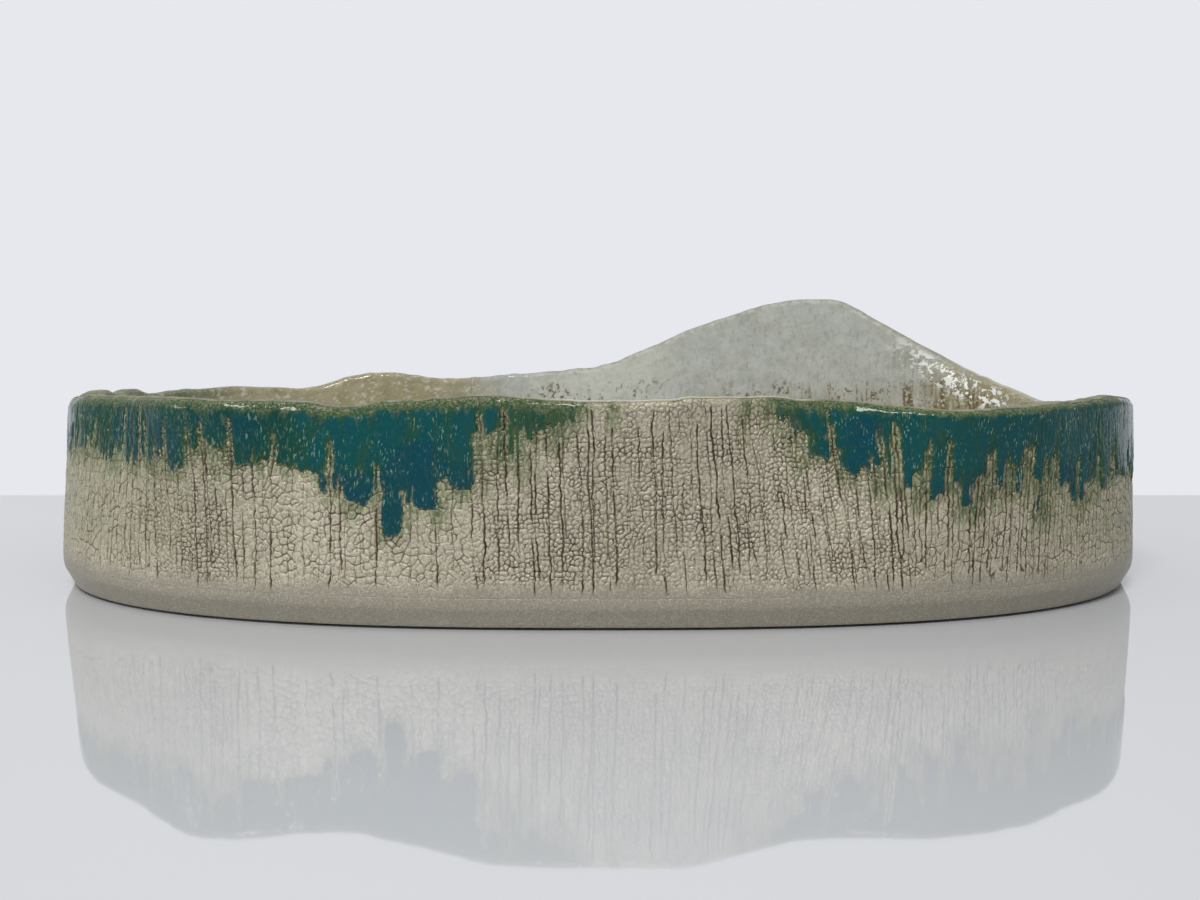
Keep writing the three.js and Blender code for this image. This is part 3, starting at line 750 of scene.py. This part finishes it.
def crackle_material():
    t = Tree("crackle_glaze_look")
    dark, mist, wash, ochre = t.tint("tint")
    broad = t.noise(t.place, 70, 3)
    grain = t.noise(t.place, 1900, 2, 0.6)
    fleck = t.noise(t.scaled(1, 1, 0.45), 640, 2, 0.65)
    base = t.mix(t.span(broad, 0.35, 0.65), rgb(164, 157, 137), rgb(172, 165, 145))

    # A darker and plainer band along the foot
    level = t.math("ADD", t.axis(t.place, "Z"), t.math("MULTIPLY", broad, 0.006))
    base = t.mix(t.span(level, *FOOT_BAND), rgb(140, 134, 119), base)
    contrast = t.span(level, *FOOT_BAND, 0.35, 0.72)
    base = t.paint(base, rgb(194, 188, 170), t.span(grain, 0.5, 0.66), contrast)
    base = t.paint(base, rgb(116, 108, 88), t.span(grain, 0.48, 0.32), contrast)
    base = t.paint(base, rgb(124, 115, 92), t.span(fleck, 0.56, 0.72), 0.4)

    # Green mist below the runs
    greenish = t.mix(t.span(fleck, 0.3, 0.7), rgb(130, 131, 92), rgb(92, 106, 66))
    mottle = t.noise(t.scaled(1, 1, 0.3), 1500, 2, 0.6)
    speckled = t.math("MULTIPLY", mist, t.span(mottle, 0.34, 0.64, 0.6, 1.35))
    base = t.mix(t.span(speckled, 0.0, 0.8, 0.0, 0.8), base, greenish)
    base = t.mix(t.span(speckled, 0.6, 1.2, 0.0, 0.8), base, rgb(56, 82, 50))

    # Thin glaze at the runs' edges, and dark seams and cracks
    patches = t.noise(t.place, 1500, 2, 0.6)
    moss = t.mix(t.span(patches, 0.38, 0.66), rgb(62, 80, 50), rgb(114, 114, 82))
    base = t.paint(base, moss, wash, 0.9)
    base = t.paint(base, rgb(158, 149, 117), ochre, 0.85)
    base = t.mix(t.span(dark, 0.0, 0.6, 0.0, 0.85), base, rgb(88, 72, 45))
    base = t.mix(t.span(dark, 0.4, 0.95), base, rgb(54, 38, 19))
    t.shader.inputs["IOR"].default_value = 1.6
    rough = t.math("ADD", t.math("MULTIPLY", grain, 0.12), 0.24)
    height = t.math("ADD", t.math("MULTIPLY", grain, 0.8), t.math("MULTIPLY", fleck, 0.4))
    return t.surface(base, rough, height, 0.7, 0.0004)


def run_material():
    t = Tree("blue_green_glaze_look")
    thick, edge, moss_share, dashes = t.tint("glaze")
    green, blue, _, _ = t.tint("hue")
    cloud = t.noise(t.scaled(1, 1, 0.3), 300, 3)
    grain = t.noise(t.place, 1300, 2)
    patches = t.noise(t.place, 1500, 2, 0.6)
    dash = t.noise(t.scaled(1, 1, 0.28), 2300, 1)
    cluster = t.noise(t.place, 160, 2)

    # Green where the glaze is thin, and blue-green where it is thick
    level = t.math("ADD", thick, t.math("MULTIPLY", t.math("SUBTRACT", cloud, 0.5), 1.5))
    base = t.mix(t.span(level, 0.05, 0.5), rgb(56, 78, 46), rgb(30, 68, 50))
    base = t.mix(t.span(level, 0.4, 0.8), base, rgb(8, 68, 70))
    base = t.mix(t.span(level, 0.85, 1.25), base, rgb(4, 62, 75))
    base = t.paint(base, rgb(16, 55, 39), green, 0.8)
    base = t.paint(base, rgb(4, 56, 74), blue, 0.65)
    moss = t.mix(t.span(patches, 0.4, 0.66), rgb(50, 72, 46), rgb(106, 108, 80))
    base = t.paint(base, moss, moss_share, 0.92)

    # Pale grain, streaks, dashes and edge
    streaks = t.noise(t.scaled(1, 1, 0.3), 1500, 2, 0.6)
    base = t.paint(base, rgb(40, 92, 84), t.span(grain, 0.5, 0.72), 0.22)
    in_green = t.math("MULTIPLY", green, 0.45)
    base = t.paint(base, rgb(104, 122, 92), t.span(streaks, 0.54, 0.68), in_green)
    dash = t.math("MULTIPLY", t.span(dash, 0.6, 0.72), t.span(cluster, 0.42, 0.58))
    base = t.paint(base, rgb(132, 152, 126), t.math("MULTIPLY", dash, dashes), 0.8)
    base = t.paint(base, rgb(132, 126, 98), edge, 0.75)
    t.shader.inputs["IOR"].default_value = 1.3
    height = t.math("ADD", t.noise(t.scaled(1, 1, 0.5), 420, 2), t.math("MULTIPLY", grain, 0.4))
    return t.surface(base, 0.13, height, 0.35, 0.0003)


def inner_material():
    t = Tree("inner_glaze_look")
    white, brown, speck, green = t.tint("inner")
    # The edge tint holds the crest, the rough lip, and the mask of the painted highlight on the
    # slope
    crest, lip, slope, _ = t.tint("edge")
    cloud = t.noise(t.place, 110, 3)
    grain = t.noise(t.place, 1000, 3, 0.6)
    mottle = t.noise(t.place, 380, 2, 0.55)

    # Brown beige and white glaze
    warm = t.mix(t.span(cloud, 0.3, 0.7), rgb(142, 134, 104), rgb(158, 151, 122))
    pinpoint = t.span(t.noise(t.place, 1150, 1), 0.62, 0.74)
    warm = t.paint(warm, rgb(184, 180, 160), pinpoint, 0.4)
    pale = t.mix(t.span(cloud, 0.3, 0.7), rgb(166, 169, 163), rgb(176, 179, 174))
    drift = t.noise(t.scaled(1, 1, 0.4), 620, 3, 0.6)
    pale = t.paint(pale, rgb(136, 137, 126), t.span(drift, 0.52, 0.68), 0.38)
    base = t.mix(white, warm, pale)
    base = t.mix(t.span(white, 1.0, 1.5, 0.0, 0.7), base, rgb(190, 191, 181))
    base = t.paint(base, rgb(138, 139, 126), t.span(mottle, 0.5, 0.32), 0.22)
    base = t.paint(base, rgb(204, 205, 197), t.span(grain, 0.5, 0.75), 0.2)

    # Glaze of the runs over the rim, specks, brown flecks, and the mountain's crest
    leaf = t.mix(t.span(grain, 0.35, 0.62), rgb(50, 74, 46), rgb(112, 122, 90))
    base = t.mix(t.math("MINIMUM", green, 1.0), base, leaf)
    base = t.mix(t.span(green, 1.0, 1.8, 0.0, 0.9), base, rgb(60, 96, 118))
    base = t.paint(base, rgb(200, 198, 186), speck, 0.7)
    brown = t.math("MULTIPLY", brown, t.span(t.noise(t.place, 850, 2), 0.36, 0.54))
    base = t.paint(base, rgb(94, 78, 48), brown, 0.9)
    olive = t.mix(t.span(mottle, 0.42, 0.58), rgb(124, 124, 104), rgb(160, 160, 144))
    base = t.paint(base, olive, crest, 0.45)

    # Painted highlight: near-white blobs on the mountain's slope, standing in for a lamp's
    # reflection there
    painted_highlight_blobs = t.noise(t.scaled(1, 1, 1.5), 330, 2, 0.6)
    painted_highlight_blobs = t.math("ADD", painted_highlight_blobs, t.math("MULTIPLY", cloud, 0.25))
    base = t.paint(base, rgb(238, 240, 237), t.span(painted_highlight_blobs, 0.645, 0.68), slope)
    rough = t.math("ADD", t.span(lip, 0.0, 1.0, 0.09, 0.5), t.math("MULTIPLY", grain, 0.08))
    height = t.math("ADD", t.noise(t.place, 300, 2), t.math("MULTIPLY", grain, 0.3))
    return t.surface(base, rough, height, 0.4, 0.0005)


def clay_material():
    t = Tree("clay_body_look")
    grain = t.noise(t.place, 1400, 3, 0.7)
    cloud = t.noise(t.place, 60, 3)
    grog = t.cracks(t.place, 900)
    base = t.mix(t.span(cloud, 0.3, 0.7), rgb(139, 134, 119), rgb(148, 142, 127))
    base = t.paint(base, rgb(164, 156, 140), t.span(grain, 0.4, 0.8), 0.5)
    base = t.mix(t.span(grog, 0.12, 0.02, 0.0, 0.25), base, rgb(112, 103, 86))
    height = t.math("ADD", grain, t.math("MULTIPLY", cloud, 0.4))
    return t.surface(base, 0.68, height, 0.4, 0.0003)


CRACKLE_LOOK = crackle_material()
RUN_LOOK = run_material()
INNER_LOOK = inner_material()
CLAY_LOOK = clay_material()


def even_columns(start, end, width):
    count = max(2, int(math.ceil((end - start) / width)) + 1)
    return np.linspace(start, end, count)


# Outer coat, in nine pieces round the front and two round the back
COAT_BELOW_CREST = 0.35
# Insets of the hidden back of the coat: at its top, under the rim, and at the foot
COAT_BACK = np.array([2.0, 1.3, 1.3])


def outer_coat(name, start, end, width, rows):
    s = even_columns(start, end, width)
    rim = track(s)[2]
    share = np.linspace(0, 1, rows)[None, :]
    crest = crest_of(s, rim)
    z = FLOOR + (crest - COAT_BELOW_CREST - FLOOR)[:, None] * share
    field = wall_field(np.broadcast_to(s[:, None], z.shape), z)
    face = wall_points(s, z, field["depth"] + rim_inset(z, crest[:, None]))
    behind = np.stack([z[:, -1], crest - RIM_LAP, z[:, 0]], 1)
    back = wall_points(s, behind, COAT_BACK + 0 * behind)
    shell(
        name, face, back, CRACKLE_LOOK, ["crackle_glaze"],
        dict(tint=field["tint"]),
    )


DETAIL = 1.0
FRONT_PIECES = 9
FRONT_SPACING, FRONT_ROWS = 0.185, 262
BACK_SPACING, BACK_ROWS = 0.45, 190
front_start, front_end = s_of(165), s_of(378)
cuts = np.linspace(front_start, front_end, FRONT_PIECES + 1)
for number in range(FRONT_PIECES):
    outer_coat(
        f"crackle_glaze_front_{number + 1}", cuts[number], cuts[number + 1],
        FRONT_SPACING * DETAIL, int(FRONT_ROWS / DETAIL),
    )
back_middle = (front_end + front_start + PERIMETER) / 2
for name, start, end in (
    ("crackle_glaze_back_right", front_end, back_middle),
    ("crackle_glaze_back_left", back_middle, front_start + PERIMETER),
):
    outer_coat(name, start, end, BACK_SPACING * DETAIL, int(BACK_ROWS / DETAIL))


# Glaze runs, as closed shells whose edges dip into the coat

# Mean depth of the coat's smooth skin, which a run lies on
SKIN_DEPTH = 0.13
# Thickness below which a run is left out. It is negative, so that the edges lie in the coat.
LEAST_RUN = -0.14
RUN_HEIGHT, RUN_BELOW_CREST = 34, 0.45


def fill_corners(mask):
    """Fills the mask of quads where two quads would touch at one corner only."""
    for _ in range(6):
        a, b, c, d = mask[:-1, :-1], mask[1:, :-1], mask[1:, 1:], mask[:-1, 1:]
        one, two = a & c & ~b & ~d, b & d & ~a & ~c
        if not (one.any() or two.any()):
            break
        mask[1:, :-1] |= one
        mask[:-1, :-1] |= two


def run_tints(s, z, field, thick):
    """Tints of a run: thickness, pale edge, moss under the rim and dashes, then green and blue."""
    places = np.broadcast_to(s[:, None], z.shape)
    bearing = bearing_of(s)[:, None]
    below_rim = track(s)[2][:, None] - z
    edge = np.exp(-((thick - 0.02) / 0.07) ** 2)
    edge = edge * (1 - field["top_band"]) * (1 - 0.85 * field["faint"])
    right_side = ramp(bearing, 296, 310)
    band = (4 + 2.2 * noise(places, z, 1.4, 8, 62)) * (1 - 0.4 * right_side)
    moss = np.clip(1 - ramp(below_rim, 1.5 - 0.5 * right_side, band), 0, 1)
    green = np.clip(field["green"] * 0.7 + 0.5 * noise(places, z, 5, 8, 63), 0, 1)
    blue = ramp(noise(places, z, 12, 9, 64) + 0.05 * (below_rim - 12), -0.2, 0.6)
    blue = blue * (1 - 0.6 * green) * (1 - 0.8 * ramp(bearing, 322, 340))
    thickness = np.clip(thick / 0.62, 0, 1.3)
    return dict(
        glaze=np.stack([thickness, edge, moss, field["dashes"]], -1),
        hue=np.stack([green, blue, 0 * z, 0 * z], -1),
    )


def glaze_run(name, node, run, side, width, low):
    s = even_columns(s_of(run[0, 0]) - 2, s_of(run[-1, 0]) + 2, width)
    crest = crest_of(s, track(s)[2])[:, None]
    share = np.linspace(0, 1, int(RUN_HEIGHT / width))[None, :]
    z = low + (crest - RUN_BELOW_CREST - low) * share
    field = wall_field(np.broadcast_to(s[:, None], z.shape), z)
    thick = np.where(field[side] > -1.5, field["thick"], -1)
    depth = field["depth"]
    turned = rim_inset(z, crest)
    relief = (depth - SKIN_DEPTH) * (0.4 - 0.25 * field["faint"])
    outer = wall_points(s, z, turned + SKIN_DEPTH + relief - np.maximum(thick, -0.2))
    inner = wall_points(s, z, turned + np.minimum(depth + 0.3, 1.15))
    points = np.concatenate([outer.reshape(-1, 3), inner.reshape(-1, 3)])

    # The quads that the run covers, in front and behind
    keep = thick > LEAST_RUN
    mask = keep[:-1, :-1] | keep[1:, :-1] | keep[1:, 1:] | keep[:-1, 1:]
    fill_corners(mask)
    columns, rows = z.shape
    total = columns * rows
    i, j = np.nonzero(mask)
    index = i * rows + j
    face = np.stack([index, index + rows, index + rows + 1, index + 1], -1)
    uv_face = grid_uv(i, j, columns - 1, rows, RUN_FACE_UV)
    behind = face[:, ::-1] + total
    uv_behind = grid_uv(i, j, columns - 1, rows, RUN_BACK_UV)[:, ::-1]

    # The narrow quads that close its edges
    sides, uv_sides = [], []
    padded = np.pad(mask, 1)
    for di, dj, a, b in ((-1, 0, 3, 0), (1, 0, 1, 2), (0, -1, 0, 1), (0, 1, 2, 3)):
        beside = padded[1 + di:padded.shape[0] - 1 + di, 1 + dj:padded.shape[1] - 1 + dj]
        at = (~beside & mask)[i, j]
        side_quads = [face[at, b], face[at, a], face[at, a] + total, face[at, b] + total]
        sides.append(np.stack(side_quads, -1))
        uv_sides.append(grid_uv(i[at], j[at], columns - 1, rows, RUN_SIDE_UV))
    quads = np.concatenate([face, behind, *sides])
    uvs = np.concatenate([uv_face, uv_behind, *uv_sides])
    flat = np.concatenate([np.zeros(len(face), bool), np.ones(len(quads) - len(face), bool)])
    used, quads = np.unique(quads, return_inverse=True)
    tints = {
        key: np.concatenate([values.reshape(-1, 4)] * 2)[used]
        for key, values in run_tints(s, z, field, thick).items()
    }
    make_mesh(
        name, points[used], quads.reshape(-1, 4), uvs, flat, tints, RUN_LOOK,
        [node],
    )


RUN_SPACING = 0.36
glaze_run("left_glaze_run_coat", "left_glaze_run", LEFT_RUN, "left", RUN_SPACING, 22)
glaze_run("right_glaze_run_coat", "right_glaze_run", RIGHT_RUN, "right", RUN_SPACING, 24)


# Inner glaze and mountain glaze

# Rows on the lip outside, round the rim and round the hollow of the coil, and the rim's top row
LIP_ROWS, RIM_ROWS, COIL_ROWS = 2, 16, 18
CREST_ROW = 6.5


def inner_profile(s, rim, rows_wall):
    """Insets and heights of the inner glaze's face, from the lip outside, over the rim, down the
    wall and round the hollow of the coil to the floor."""
    crest = crest_of(s, rim)
    level = np.zeros_like(s)
    start = 1.0 + 0.08 * noise(s, level, 3, 1, 71) + 0.06 * noise(s, level, 1.2, 1, 72)
    turn = start[:, None] + (np.pi - start[:, None]) * np.linspace(0, 1, RIM_ROWS)[None, :]
    across = RIM_HALF * (1 - np.sign(np.cos(turn)) * np.abs(np.cos(turn)) ** RIM_SQUARE)
    up = (crest - RIM_LAP)[:, None] + RIM_LAP * np.abs(np.sin(turn)) ** RIM_SQUARE
    lip_inset = np.stack([across[:, 0] + 0.9, across[:, 0] + 0.45], 1)
    lip_z = np.stack([up[:, 0] - 0.75, up[:, 0] - 0.35], 1)

    wall_share = np.linspace(0, 1, rows_wall + 1)[None, 1:]
    top = up[:, -1:]
    wall_z = top + (COIL_TOP - top) * wall_share
    height = (wall_z - FLOOR) / (rim - FLOOR)[:, None]
    wall_inset = CLAY_OUTER + CLAY_AT_FOOT + (CLAY_AT_RIM - CLAY_AT_FOOT) * height + GLAZE_FACE
    from_rim = ramp(wall_share, 0, 0.08)
    wall_inset = across[:, -1:] + (wall_inset - across[:, -1:]) * from_rim
    foot_inset = COIL_FOOT - COIL_FACE
    wall_inset = wall_inset + (foot_inset - wall_inset) * ramp(wall_z, COIL_TOP + 9, COIL_TOP)

    angle = np.linspace(0, np.pi / 2, COIL_ROWS + 1)[None, 1:]
    coil_inset = COIL_FOOT - COIL_FACE * np.cos(angle) + 0 * s[:, None]
    coil_z = COIL_TOP - COIL_FACE * np.sin(angle) + 0 * s[:, None]
    inset = np.concatenate([lip_inset, across, wall_inset, coil_inset], 1)
    z = np.concatenate([lip_z, up, wall_z, coil_z], 1)
    return inset, z


def inner_back(s, rim):
    """Points of the hidden back, from the floor round the hollow of the coil and up the clay."""
    radius = COIL_FACE + 1.0
    clay_in, clay_top = CLAY_OUTER + CLAY_AT_RIM, rim - 1.3
    hollow = np.linspace(np.pi / 2, 0, 6)
    inset = [COIL_FOOT - radius * math.cos(angle) for angle in hollow]
    inset += [clay_in + 0.3, clay_in - 1, CLAY_OUTER + 1.4, CLAY_OUTER + 0.9]
    z = [np.full(s.shape, COIL_TOP - radius * math.sin(angle)) for angle in hollow]
    z += [clay_top - 1.6, clay_top + 0.1, clay_top + 0.1, clay_top - 0.4]
    return wall_points(s, np.stack(z, 1), np.array(inset) + 0 * s[:, None])


def inner_field(s, z, inset, rim):
    """All that varies over the inner glaze: its relief, as a change of inset, and its tints."""
    places = np.broadcast_to(s[:, None], z.shape)
    bearing = bearing_of(s)[:, None]
    rows = np.arange(z.shape[1])[None, :]
    inside = np.broadcast_to(rows >= LIP_ROWS + RIM_ROWS // 2, z.shape)
    below = rim[:, None] - z
    down = z - inset
    on_coil = ramp(z, COIL_TOP + 6, COIL_TOP)
    # The slope at the mountain's right end, which gets brown drips and the painted highlight
    slope = (1 - ramp(bearing, 28, 40)) * inside

    # Soft bumps, small pits, and streaks low on the wall
    bumps = 0.1 * noise(places, down, 5, 5, 81) + 0.05 * noise(places, down, 1.8, 1.8, 82)
    bumps = bumps * (1 - 0.6 * on_coil)
    pits = ramp(noise(places, down, 1.3, 1.3, 84), 0.6, 0.95) * 0.12
    relief = (bumps + 0.1) * np.where(inside, 1.2, 0.8) + pits * inside
    peak = between(bearing, 16, 26, 96, 110)
    low = (ramp(z, 63, 47) * peak + ramp(below, 14, 34) * (1 - peak)) * inside
    streaky = 0.35 + 0.65 * (1 - ramp(bearing, 46, 56))
    streak = ramp(noise(places, z, 1.1, 16, 85) + 0.5 * noise(places, z, 4, 30, 86), 0.35, 0.65)
    streak = streak * ramp(low, 0.1, 0.6) * streaky * (1 - on_coil)
    relief = relief + 0.15 * streak
    relief[:, 0] = 0
    relief = np.clip(relief, -0.1, 0.7) * np.where(inside, -1.0, 0.6)

    # White on the mountain, with brown flecks, drips and a line at the rim
    patches = 0.12 + 0.4 * (1 - ramp(bearing, 26, 40))
    white = between(bearing, 20, 38, 96, 124) + patches * noise(places, z, 2.4, 2.8, 91)
    white = white - 0.35 * low * streaky
    whiter = between(bearing, 66, 84, 104, 122)
    white = (np.clip(white, 0, 1) + 0.5 * whiter) * np.where(inside, 1, 0.25)
    clusters = ramp(noise(places, z, 1.0, 1.0, 92) + 0.6 * noise(places, z, 9, 5, 93), 0.52, 0.85)
    sparse = 0.25 * ramp(noise(places, z, 1.1, 1.1, 98), 0.72, 0.95)
    brown = 0.9 * streak + (clusters * ramp(low, 0.02, 0.5) + sparse) * inside
    drips = ramp(noise(places, z, 0.9, 7, 87), -0.4, 0.6) * ramp(below, 2, 8)
    brown = np.clip((brown + 0.75 * drips * slope) * (1 - 0.7 * on_coil), 0, 1)
    rim_line = np.exp(-((below - 0.8) / 0.8) ** 2) * 0.35
    brown = np.clip(brown + rim_line * ramp(noise(places, z, 1.2, 1.2, 94), -0.2, 0.6), 0, 1)
    specks = noise(places, down, 0.8, 0.8, 95) + 0.35 * noise(places, down, 3, 3, 96)
    specks = ramp(specks, 0.45, 0.8) * inside * (1 - between(bearing, 26, 40, 100, 125))

    # Green of the runs, which laps over the rim, and above 1 their blue at the crest
    runs = ramp(bearing, 293, 300) + (1 - ramp(bearing, 8, 16))
    runs = np.clip(between(bearing, 148, 162, 258, 268) + runs, 0, 1)
    green = runs * (1 - ramp(below, 2.6, 6.5)) * (0.62 + 0.38 * noise(places, z, 2.5, 2.5, 97))
    green = np.where(inside, green * (1 - ramp(below, 1.0, 5)), green)
    blue = between(bearing, 224, 228, 252, 260) + between(bearing, 292, 296, 302, 307)
    at_crest = np.exp(-((rows - CREST_ROW) / 0.8) ** 2)
    at_crest = np.clip(at_crest * (0.9 + 0.4 * noise(places, z, 7, 7, 88)), 0, 1)
    green = np.clip(green, 0, 1) + blue * at_crest * 2

    # The mountain's crest, the rougher rim and coil, and the slope's painted highlight, near-white
    # blobs that stand in for a lamp's reflection
    near_crest = 1 - ramp(np.abs(below - 0.2), 1.2, 2.4)
    on_peak = between(bearing, 24, 32, 96, 112)
    lip = np.maximum(near_crest * np.maximum(runs, on_peak), 0.75 * on_coil)
    # Painted highlight: where the near-white blobs go on the slope, standing in for a lamp's
    # reflection
    painted_slope_highlight = slope * ramp(below, 14, 9) * ramp(below, 0.8, 2.5) * ramp(bearing, 15, 20)
    return relief, dict(
        inner=np.stack([white, brown, specks, green], -1),
        edge=np.stack([on_peak * near_crest, lip, painted_slope_highlight, 0 * z], -1),
    )


def inner_coat(name, node, start, end, width, rows_wall):
    s = even_columns(start, end, width)
    rim = track(s)[2]
    inset, z = inner_profile(s, rim, rows_wall)
    relief, tints = inner_field(s, z, inset, rim)
    face = wall_points(s, z, inset + relief)
    shell(name, face, inner_back(s, rim), INNER_LOOK, [node], tints)


INNER_SPACING, MOUNTAIN_SPACING, INNER_ROWS = 1.0, 0.55, 92
inner_coat(
    "inner_glaze_coat", "inner_glaze", s_of(116), s_of(374),
    INNER_SPACING * DETAIL, int(INNER_ROWS / DETAIL),
)
inner_coat(
    "mountain_glaze_coat", "mountain_glaze", s_of(14), s_of(116),
    MOUNTAIN_SPACING * DETAIL, int(INNER_ROWS / DETAIL),
)


# Plates: the floor slab and the glaze pool

def plate(name, node, rings, columns, tints, material, uneven=False):
    """A closed plate from rings of (inset, z) or (inset, z, share of the way out), listed from the
    middle of the underside outwards, up the edge and in to the middle of the top. Every tint is
    the same four numbers all over. An uneven plate has the glaze's skin on its edge."""
    s = np.linspace(0, PERIMETER, columns, endpoint=False)
    full = np.array([(*ring, 1.0)[:3] for ring in rings])
    inset, z, share = full.T[:, None, :] + 0 * s[:, None]
    if uneven:
        on_edge = ramp(z, 0.2, 1.2) * (inset < 3.3)
        inset = inset + skin(np.broadcast_to(s[:, None], z.shape), z) * on_edge
    points = wall_points(s, z, inset)
    points[..., :2] = points[..., :2] * share[..., None]
    rows = len(rings)
    quads, i, j = grid_quads(columns, rows, wrap=True)
    low_cap = np.arange(columns)[::-1] * rows
    high_cap = np.arange(columns) * rows + rows - 1
    level = np.abs(np.diff(z[0])) < 1e-6
    make_mesh(
        name, points, quads, grid_uv(i, j, columns, rows, PLATE_UV), level[j],
        {key: np.zeros((*z.shape, 4)) + values for key, values in tints.items()},
        material, [node], [low_cap, high_cap],
    )


SLAB_COLUMNS = 2200
POOL_COLUMNS = 480

# The slab: underside, foot line, bevel, upper edge and top
slab_rings = [(10.0, 0.0, share) for share in np.linspace(0.04, 0.99, 6)]
slab_rings += [(10.0, 0.0), (9.7, 0.35), (7.0, 0.5), (4.6, 0.62), (3.5, 0.7), (3.1, 0.85)]
slab_rings += [(2.9 - 2.5 * k / 13, 1.05 + 4.95 * k / 13) for k in range(13)]
slab_rings += [(0.4 * (1 - t) ** 2, 6.0 + 2.5 * t) for t in np.linspace(0, 1, 9)]
slab_rings += [(0.0, 8.75), (0.0, 9.0), (4.0, 9.0), (4.0, 9.0, 0.6), (4.0, 9.0, 0.04)]
plate(
    "floor_slab_body", "floor_slab", slab_rings, SLAB_COLUMNS, dict(tint=(0, 0, 0, 0)),
    CRACKLE_LOOK, uneven=True,
)

# The pool: underside, edge and top
pool_rings = [(POOL_EDGE, 9.35, share) for share in (0.04, 0.5, 0.98)]
pool_rings += [(17.15, 9.5), (POOL_EDGE, 10.4), (17.3, 10.85), (17.8, 11.0)]
pool_rings += [(17.8, 11.02, share) for share in np.linspace(0.985, 0.03, 60)]
plate(
    "floor_glaze_pool", "floor_glaze", pool_rings, POOL_COLUMNS,
    dict(inner=(0.15, 0, 0, 0), edge=(0, 0, 0, 0)), INNER_LOOK,
)

# Clay walls and coil behind the coats
for node in ("front_wall", "back_wall", "inner_seam_coil"):
    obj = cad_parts[node]
    obj.data.materials.clear()
    obj.data.materials.append(CLAY_LOOK)


# Table, backdrop, light and camera. Lengths are in metres from here on.
TABLE_HALF, TABLE_EDGE = 4, 0.175
BACKDROP = rgb(230, 232, 237)
WORLD_COLOUR, WORLD_LIGHT = (0.97, 0.99, 1.0, 1), 0.56


def table_material():
    """A polished table top that ends at TABLE_EDGE. Beyond it the backdrop's colour is seen."""
    t = Tree("table_top")
    t.shader.inputs["Base Color"].default_value = rgb(191, 192, 195)
    t.shader.inputs["Roughness"].default_value = 0.035
    t.shader.inputs["IOR"].default_value = 2.2
    beyond = t.span(t.axis(t.place, "Y"), TABLE_EDGE - 0.003, TABLE_EDGE + 0.003)
    watched = t.math("MULTIPLY", beyond, t.rays("Camera", "Glossy"))
    backdrop = t.new("ShaderNodeEmission", {"Color": BACKDROP}).outputs[0]
    surface = t.blend(watched, t.shader.outputs[0], backdrop)
    t.put(t.nodes["Material Output"].inputs["Surface"], surface)
    return t.material


corners = [(x * TABLE_HALF, y * TABLE_HALF, 0) for x, y in ((-1, -1), (1, -1), (1, 1), (-1, 1))]
floor_mesh = bpy.data.meshes.new("table_top")
floor_mesh.from_pydata(corners, [], [(0, 1, 2, 3)])
floor_mesh.materials.append(table_material())
floor = bpy.data.objects.new("table_top", floor_mesh)
bpy.context.scene.collection.objects.link(floor)

# Gloss sees the pale backdrop behind the object and a dimmer room on the other sides
world = bpy.data.worlds.new("studio")
bpy.context.scene.world = world
world.use_nodes = True
sky = Graph(world.node_tree)
sky.nodes.clear()
toward_back = sky.axis(sky.new("ShaderNodeTexCoord").outputs["Generated"], "Y")
brightness = sky.math("MAXIMUM", sky.span(toward_back, 0.5, 0.9, 0.4, 1.0), sky.rays("Camera"))
light = sky.new("ShaderNodeBackground", {"Color": WORLD_COLOUR, "Strength": WORLD_LIGHT})
seen = sky.new("ShaderNodeBackground", {"Color": BACKDROP, "Strength": brightness})
seeing = sky.rays("Camera", "Glossy", "Transmission")
sky.new("ShaderNodeOutputWorld", {0: sky.blend(seeing, light.outputs[0], seen.outputs[0])})


def area_light(name, place, target, size, power, colour=(1, 1, 1)):
    lamp = bpy.data.lights.new(name, "AREA")
    lamp.shape = "RECTANGLE"
    lamp.size, lamp.size_y = size
    lamp.energy = power
    lamp.color = colour
    obj = bpy.data.objects.new(name, lamp)
    obj.location = place
    x, y, z = np.array(target) - np.array(place)
    obj.rotation_euler = (math.atan2(math.hypot(x, y), -z), 0, math.atan2(y, x) - math.pi / 2)
    bpy.context.scene.collection.objects.link(obj)


WINDOW_WATTS, CEILING_WATTS = 1.9, 12.9
WINDOW_COLOUR = (1.0, 0.99, 0.97)
area_light(
    "window", (-1.2, -0.5, 0.28), (0, 0, 0.05), (0.36, 0.1), WINDOW_WATTS, WINDOW_COLOUR)
area_light("ceiling", (-0.2, -0.9, 1.05), (0, 0, 0), (0.45, 0.3), CEILING_WATTS)

# The camera, found from the photo, with its pixels: the width, the focal length, and how far the
# horizon lies above the middle
PHOTO_WIDTH_PX, FOCAL_PX, HORIZON_PX = 1200, 1270, 112
SENSOR_MM = 36
CAMERA_PLACE = (0.0006, -0.4389, 0.0762)
camera_data = bpy.data.cameras.new("camera")
camera_data.lens = FOCAL_PX * SENSOR_MM / PHOTO_WIDTH_PX
camera_data.sensor_width = SENSOR_MM
camera_data.clip_start = 0.01
camera = bpy.data.objects.new("camera", camera_data)
camera.location = CAMERA_PLACE
camera.rotation_euler = (math.radians(90) - math.atan2(HORIZON_PX, FOCAL_PX), 0, 0)
bpy.context.scene.collection.objects.link(camera)
bpy.context.scene.camera = camera
bpy.context.scene.view_settings.view_transform = "Standard"
